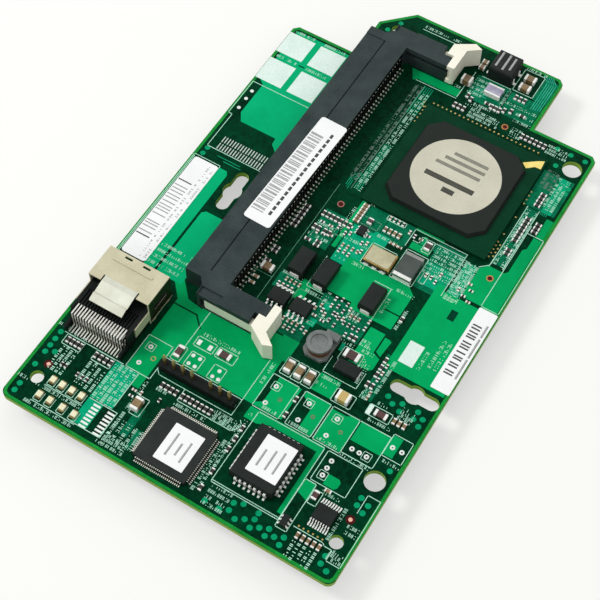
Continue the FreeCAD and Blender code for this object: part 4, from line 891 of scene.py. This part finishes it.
for name, node, width, material, paths in (
        ("long_label_edges", "long_board_label", 0.34, label_dark, bars(1.6, 5.1, (72.1, 53.3))),
        ("long_label_bars", "long_board_label", 0.3, label_ink,
         bars(1.6, 5.1, (70.3, 69.2, 68.2, 67, 66, 64.7, 63.5, 62.6, 61.7, 60.3, 57.8, 57, 56, 54.5))),
        ("side_label_bars", "side_board_label", 0.42, label_dark,
         bars(84.9, 86.8, (58.7, 59.5, 61, 61.8, 63.2, 63.9, 65.2, 66.6, 67.4, 68.3, 69.9, 70.6, 71.6, 72.7, 73.6))),
        ("side_label_line", "side_board_label", 0.5, label_ink,
         posts((88, 58.5, 64), (88, 65, 70.4), (88, 71.4, 74.6))),
        ("socket_label_bars", "memory_socket_label", 0.3, label_ink,
         askew(bars(24.5, 27.6, [71 + 0.64 * i + 0.16 * math.sin(2.3 * i) for i in range(44)]))),
        ("socket_label_line", "memory_socket_label", 0.75, label_dark,
         askew(posts(*((29.4, 71.6 + 1.74 * i, 72.1 + 1.74 * i) for i in range(17))))),
        ("logic_label_lines", "logic_chip_label", 0.5, label_ink,
         posts((41.6, 6.8, 12.4), (43.6, 7.8, 10.6), (45.4, 6.8, 11.8))),
        ("firmware_label_lines", "firmware_chip_label", 0.5, label_ink,
         posts((61, 14.6, 18.6), (63.2, 14.6, 19.4), (65.2, 14.6, 20)))):
    printed_lines(name, paths, width, material, "label_paper", node)
stroke_rows("long_label_marks", [("y", 48, 79, 6.2, 7.5, 2)], label_ink, "label_paper", pitch=0.8, tall=0.45,
            stroke=0.22, kept=0.7, seed=21, on="long_board_label")
for name, node, width, material, slot, paths in (
        ("transformer_marks", "transformer_body", 0.6, label_ink, "black_resin",
         posts((53.9, 144, 148.6), (56, 143.6, 148.6), (57.7, 144.4, 148.2))),
        ("slug_lines", "raid_chip_heat_slug", 0.95, slug_ink, "slug_metal",
         [[58.2, 114.3, 66.8, 114.3], [56.6, 112.2, 66.9, 112.2], [55.1, 110, 66.6, 110]]),
        ("slug_bars", "raid_chip_heat_slug", 1.5, slug_dark, "slug_metal",
         [[54.6, 105.6, 66.8, 105.6], [60.8, 102.9, 62.6, 102.9]])):
    printed_lines(name, paths, width, material, slot, node)
dab_bottom = extent("raid_chip_base")[1][2]
dab = (73.5, 121.6, 75, 120.4, 76.8, 122, 78.4, 122.1, 78.2, 124.9, 76.6, 124)
flat_shapes("paint_dab", [dab], print_finish("paint dab", (232, 204, 96), (252, 230, 138), share=0.4, bump=0.3),
            dab_bottom + 0.05, dab_bottom)

# ---- Floor, light and camera ----
# A plain pale table under a soft key from the left and two weaker fills, with the camera above and in
# front, a little to the right. The table glows to the camera and in reflections, so it looks near white.

table_gap = 0.00002
table_glow = 0.515
floor_mesh = bpy.data.meshes.new("floor")
floor_mesh.from_pydata([(-3, -3, 0), (3, -3, 0), (3, 3, 0), (-3, 3, 0)], [], [(0, 1, 2, 3)])
floor = bpy.data.objects.new("floor", floor_mesh)
bpy.context.scene.collection.objects.link(floor)
floor.location.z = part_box("host_connector_body")[0].z - table_gap
table = bpy.data.materials.new("table top")
table.use_nodes = True
floor_mesh.materials.append(table)
tree = table.node_tree
top = tree.nodes["Principled BSDF"]
feed(tree, top, {"Base Color": srgb(175, 175, 171), "Roughness": 0.9, "Specular IOR Level": 0.1})
rays = add(tree, "ShaderNodeLightPath")
seen = maths(tree, "MAXIMUM", rays["Is Camera Ray"], rays["Is Glossy Ray"])
seen = maths(tree, "MAXIMUM", seen, rays["Is Transmission Ray"])
seen = maths(tree, "MULTIPLY", seen, table_glow)
glow = add(tree, "ShaderNodeEmission", {"Color": (1, 1, 0.985, 1), "Strength": seen})[0]
both = add(tree, "ShaderNodeAddShader", {0: top.outputs[0], 1: glow})[0]
feed(tree, tree.nodes["Material Output"], {"Surface": both})

world = bpy.data.worlds.new("studio")
bpy.context.scene.world = world
world.use_nodes = True
feed(world.node_tree, world.node_tree.nodes["Background"], {"Color": (1, 1, 1, 1), "Strength": 0.6})


def lamp(name, direction, distance, size, power):
    """A round soft lamp that shines on the middle of the card."""
    light = bpy.data.lights.new(name, "AREA")
    light.shape = "DISK"
    light.size = size
    light.energy = power
    made = bpy.data.objects.new(name, light)
    bpy.context.scene.collection.objects.link(made)
    aim = Vector(direction).normalized()
    made.location = aim * distance
    made.rotation_euler = aim.to_track_quat("Z", "Y").to_euler()


lamp("key", (-0.84, -0.22, 0.92), 1.1, 0.3, 5.4)
lamp("back_fill", (-0.25, 0.95, 0.85), 1.2, 0.9, 2.6)
lamp("front_fill", (0.5, -0.9, 1.2), 1.3, 0.9, 1.0)

bpy.context.scene.view_settings.view_transform = "Standard"
lens = bpy.data.cameras.new("camera")
lens.lens = 84.763
lens.sensor_width = 36.0
lens.clip_start = 0.01
camera = bpy.data.objects.new("camera", lens)
bpy.context.scene.collection.objects.link(camera)
bpy.context.scene.camera = camera
aimed_at, camera_distance, roll = on_board(46.112, 57.672), 0.33941, math.radians(1.186)
back = Vector((0.25747, -0.44013, 0.86023)).normalized()    # from the card to the camera
level_right = Vector((0, 0, 1)).cross(back).normalized()
level_up = back.cross(level_right)
right = math.cos(roll) * level_right + math.sin(roll) * level_up
up = -math.sin(roll) * level_right + math.cos(roll) * level_up
turned = Matrix((right, up, back)).transposed().to_4x4()
camera.matrix_world = Matrix.Translation(aimed_at + back * camera_distance) @ turned
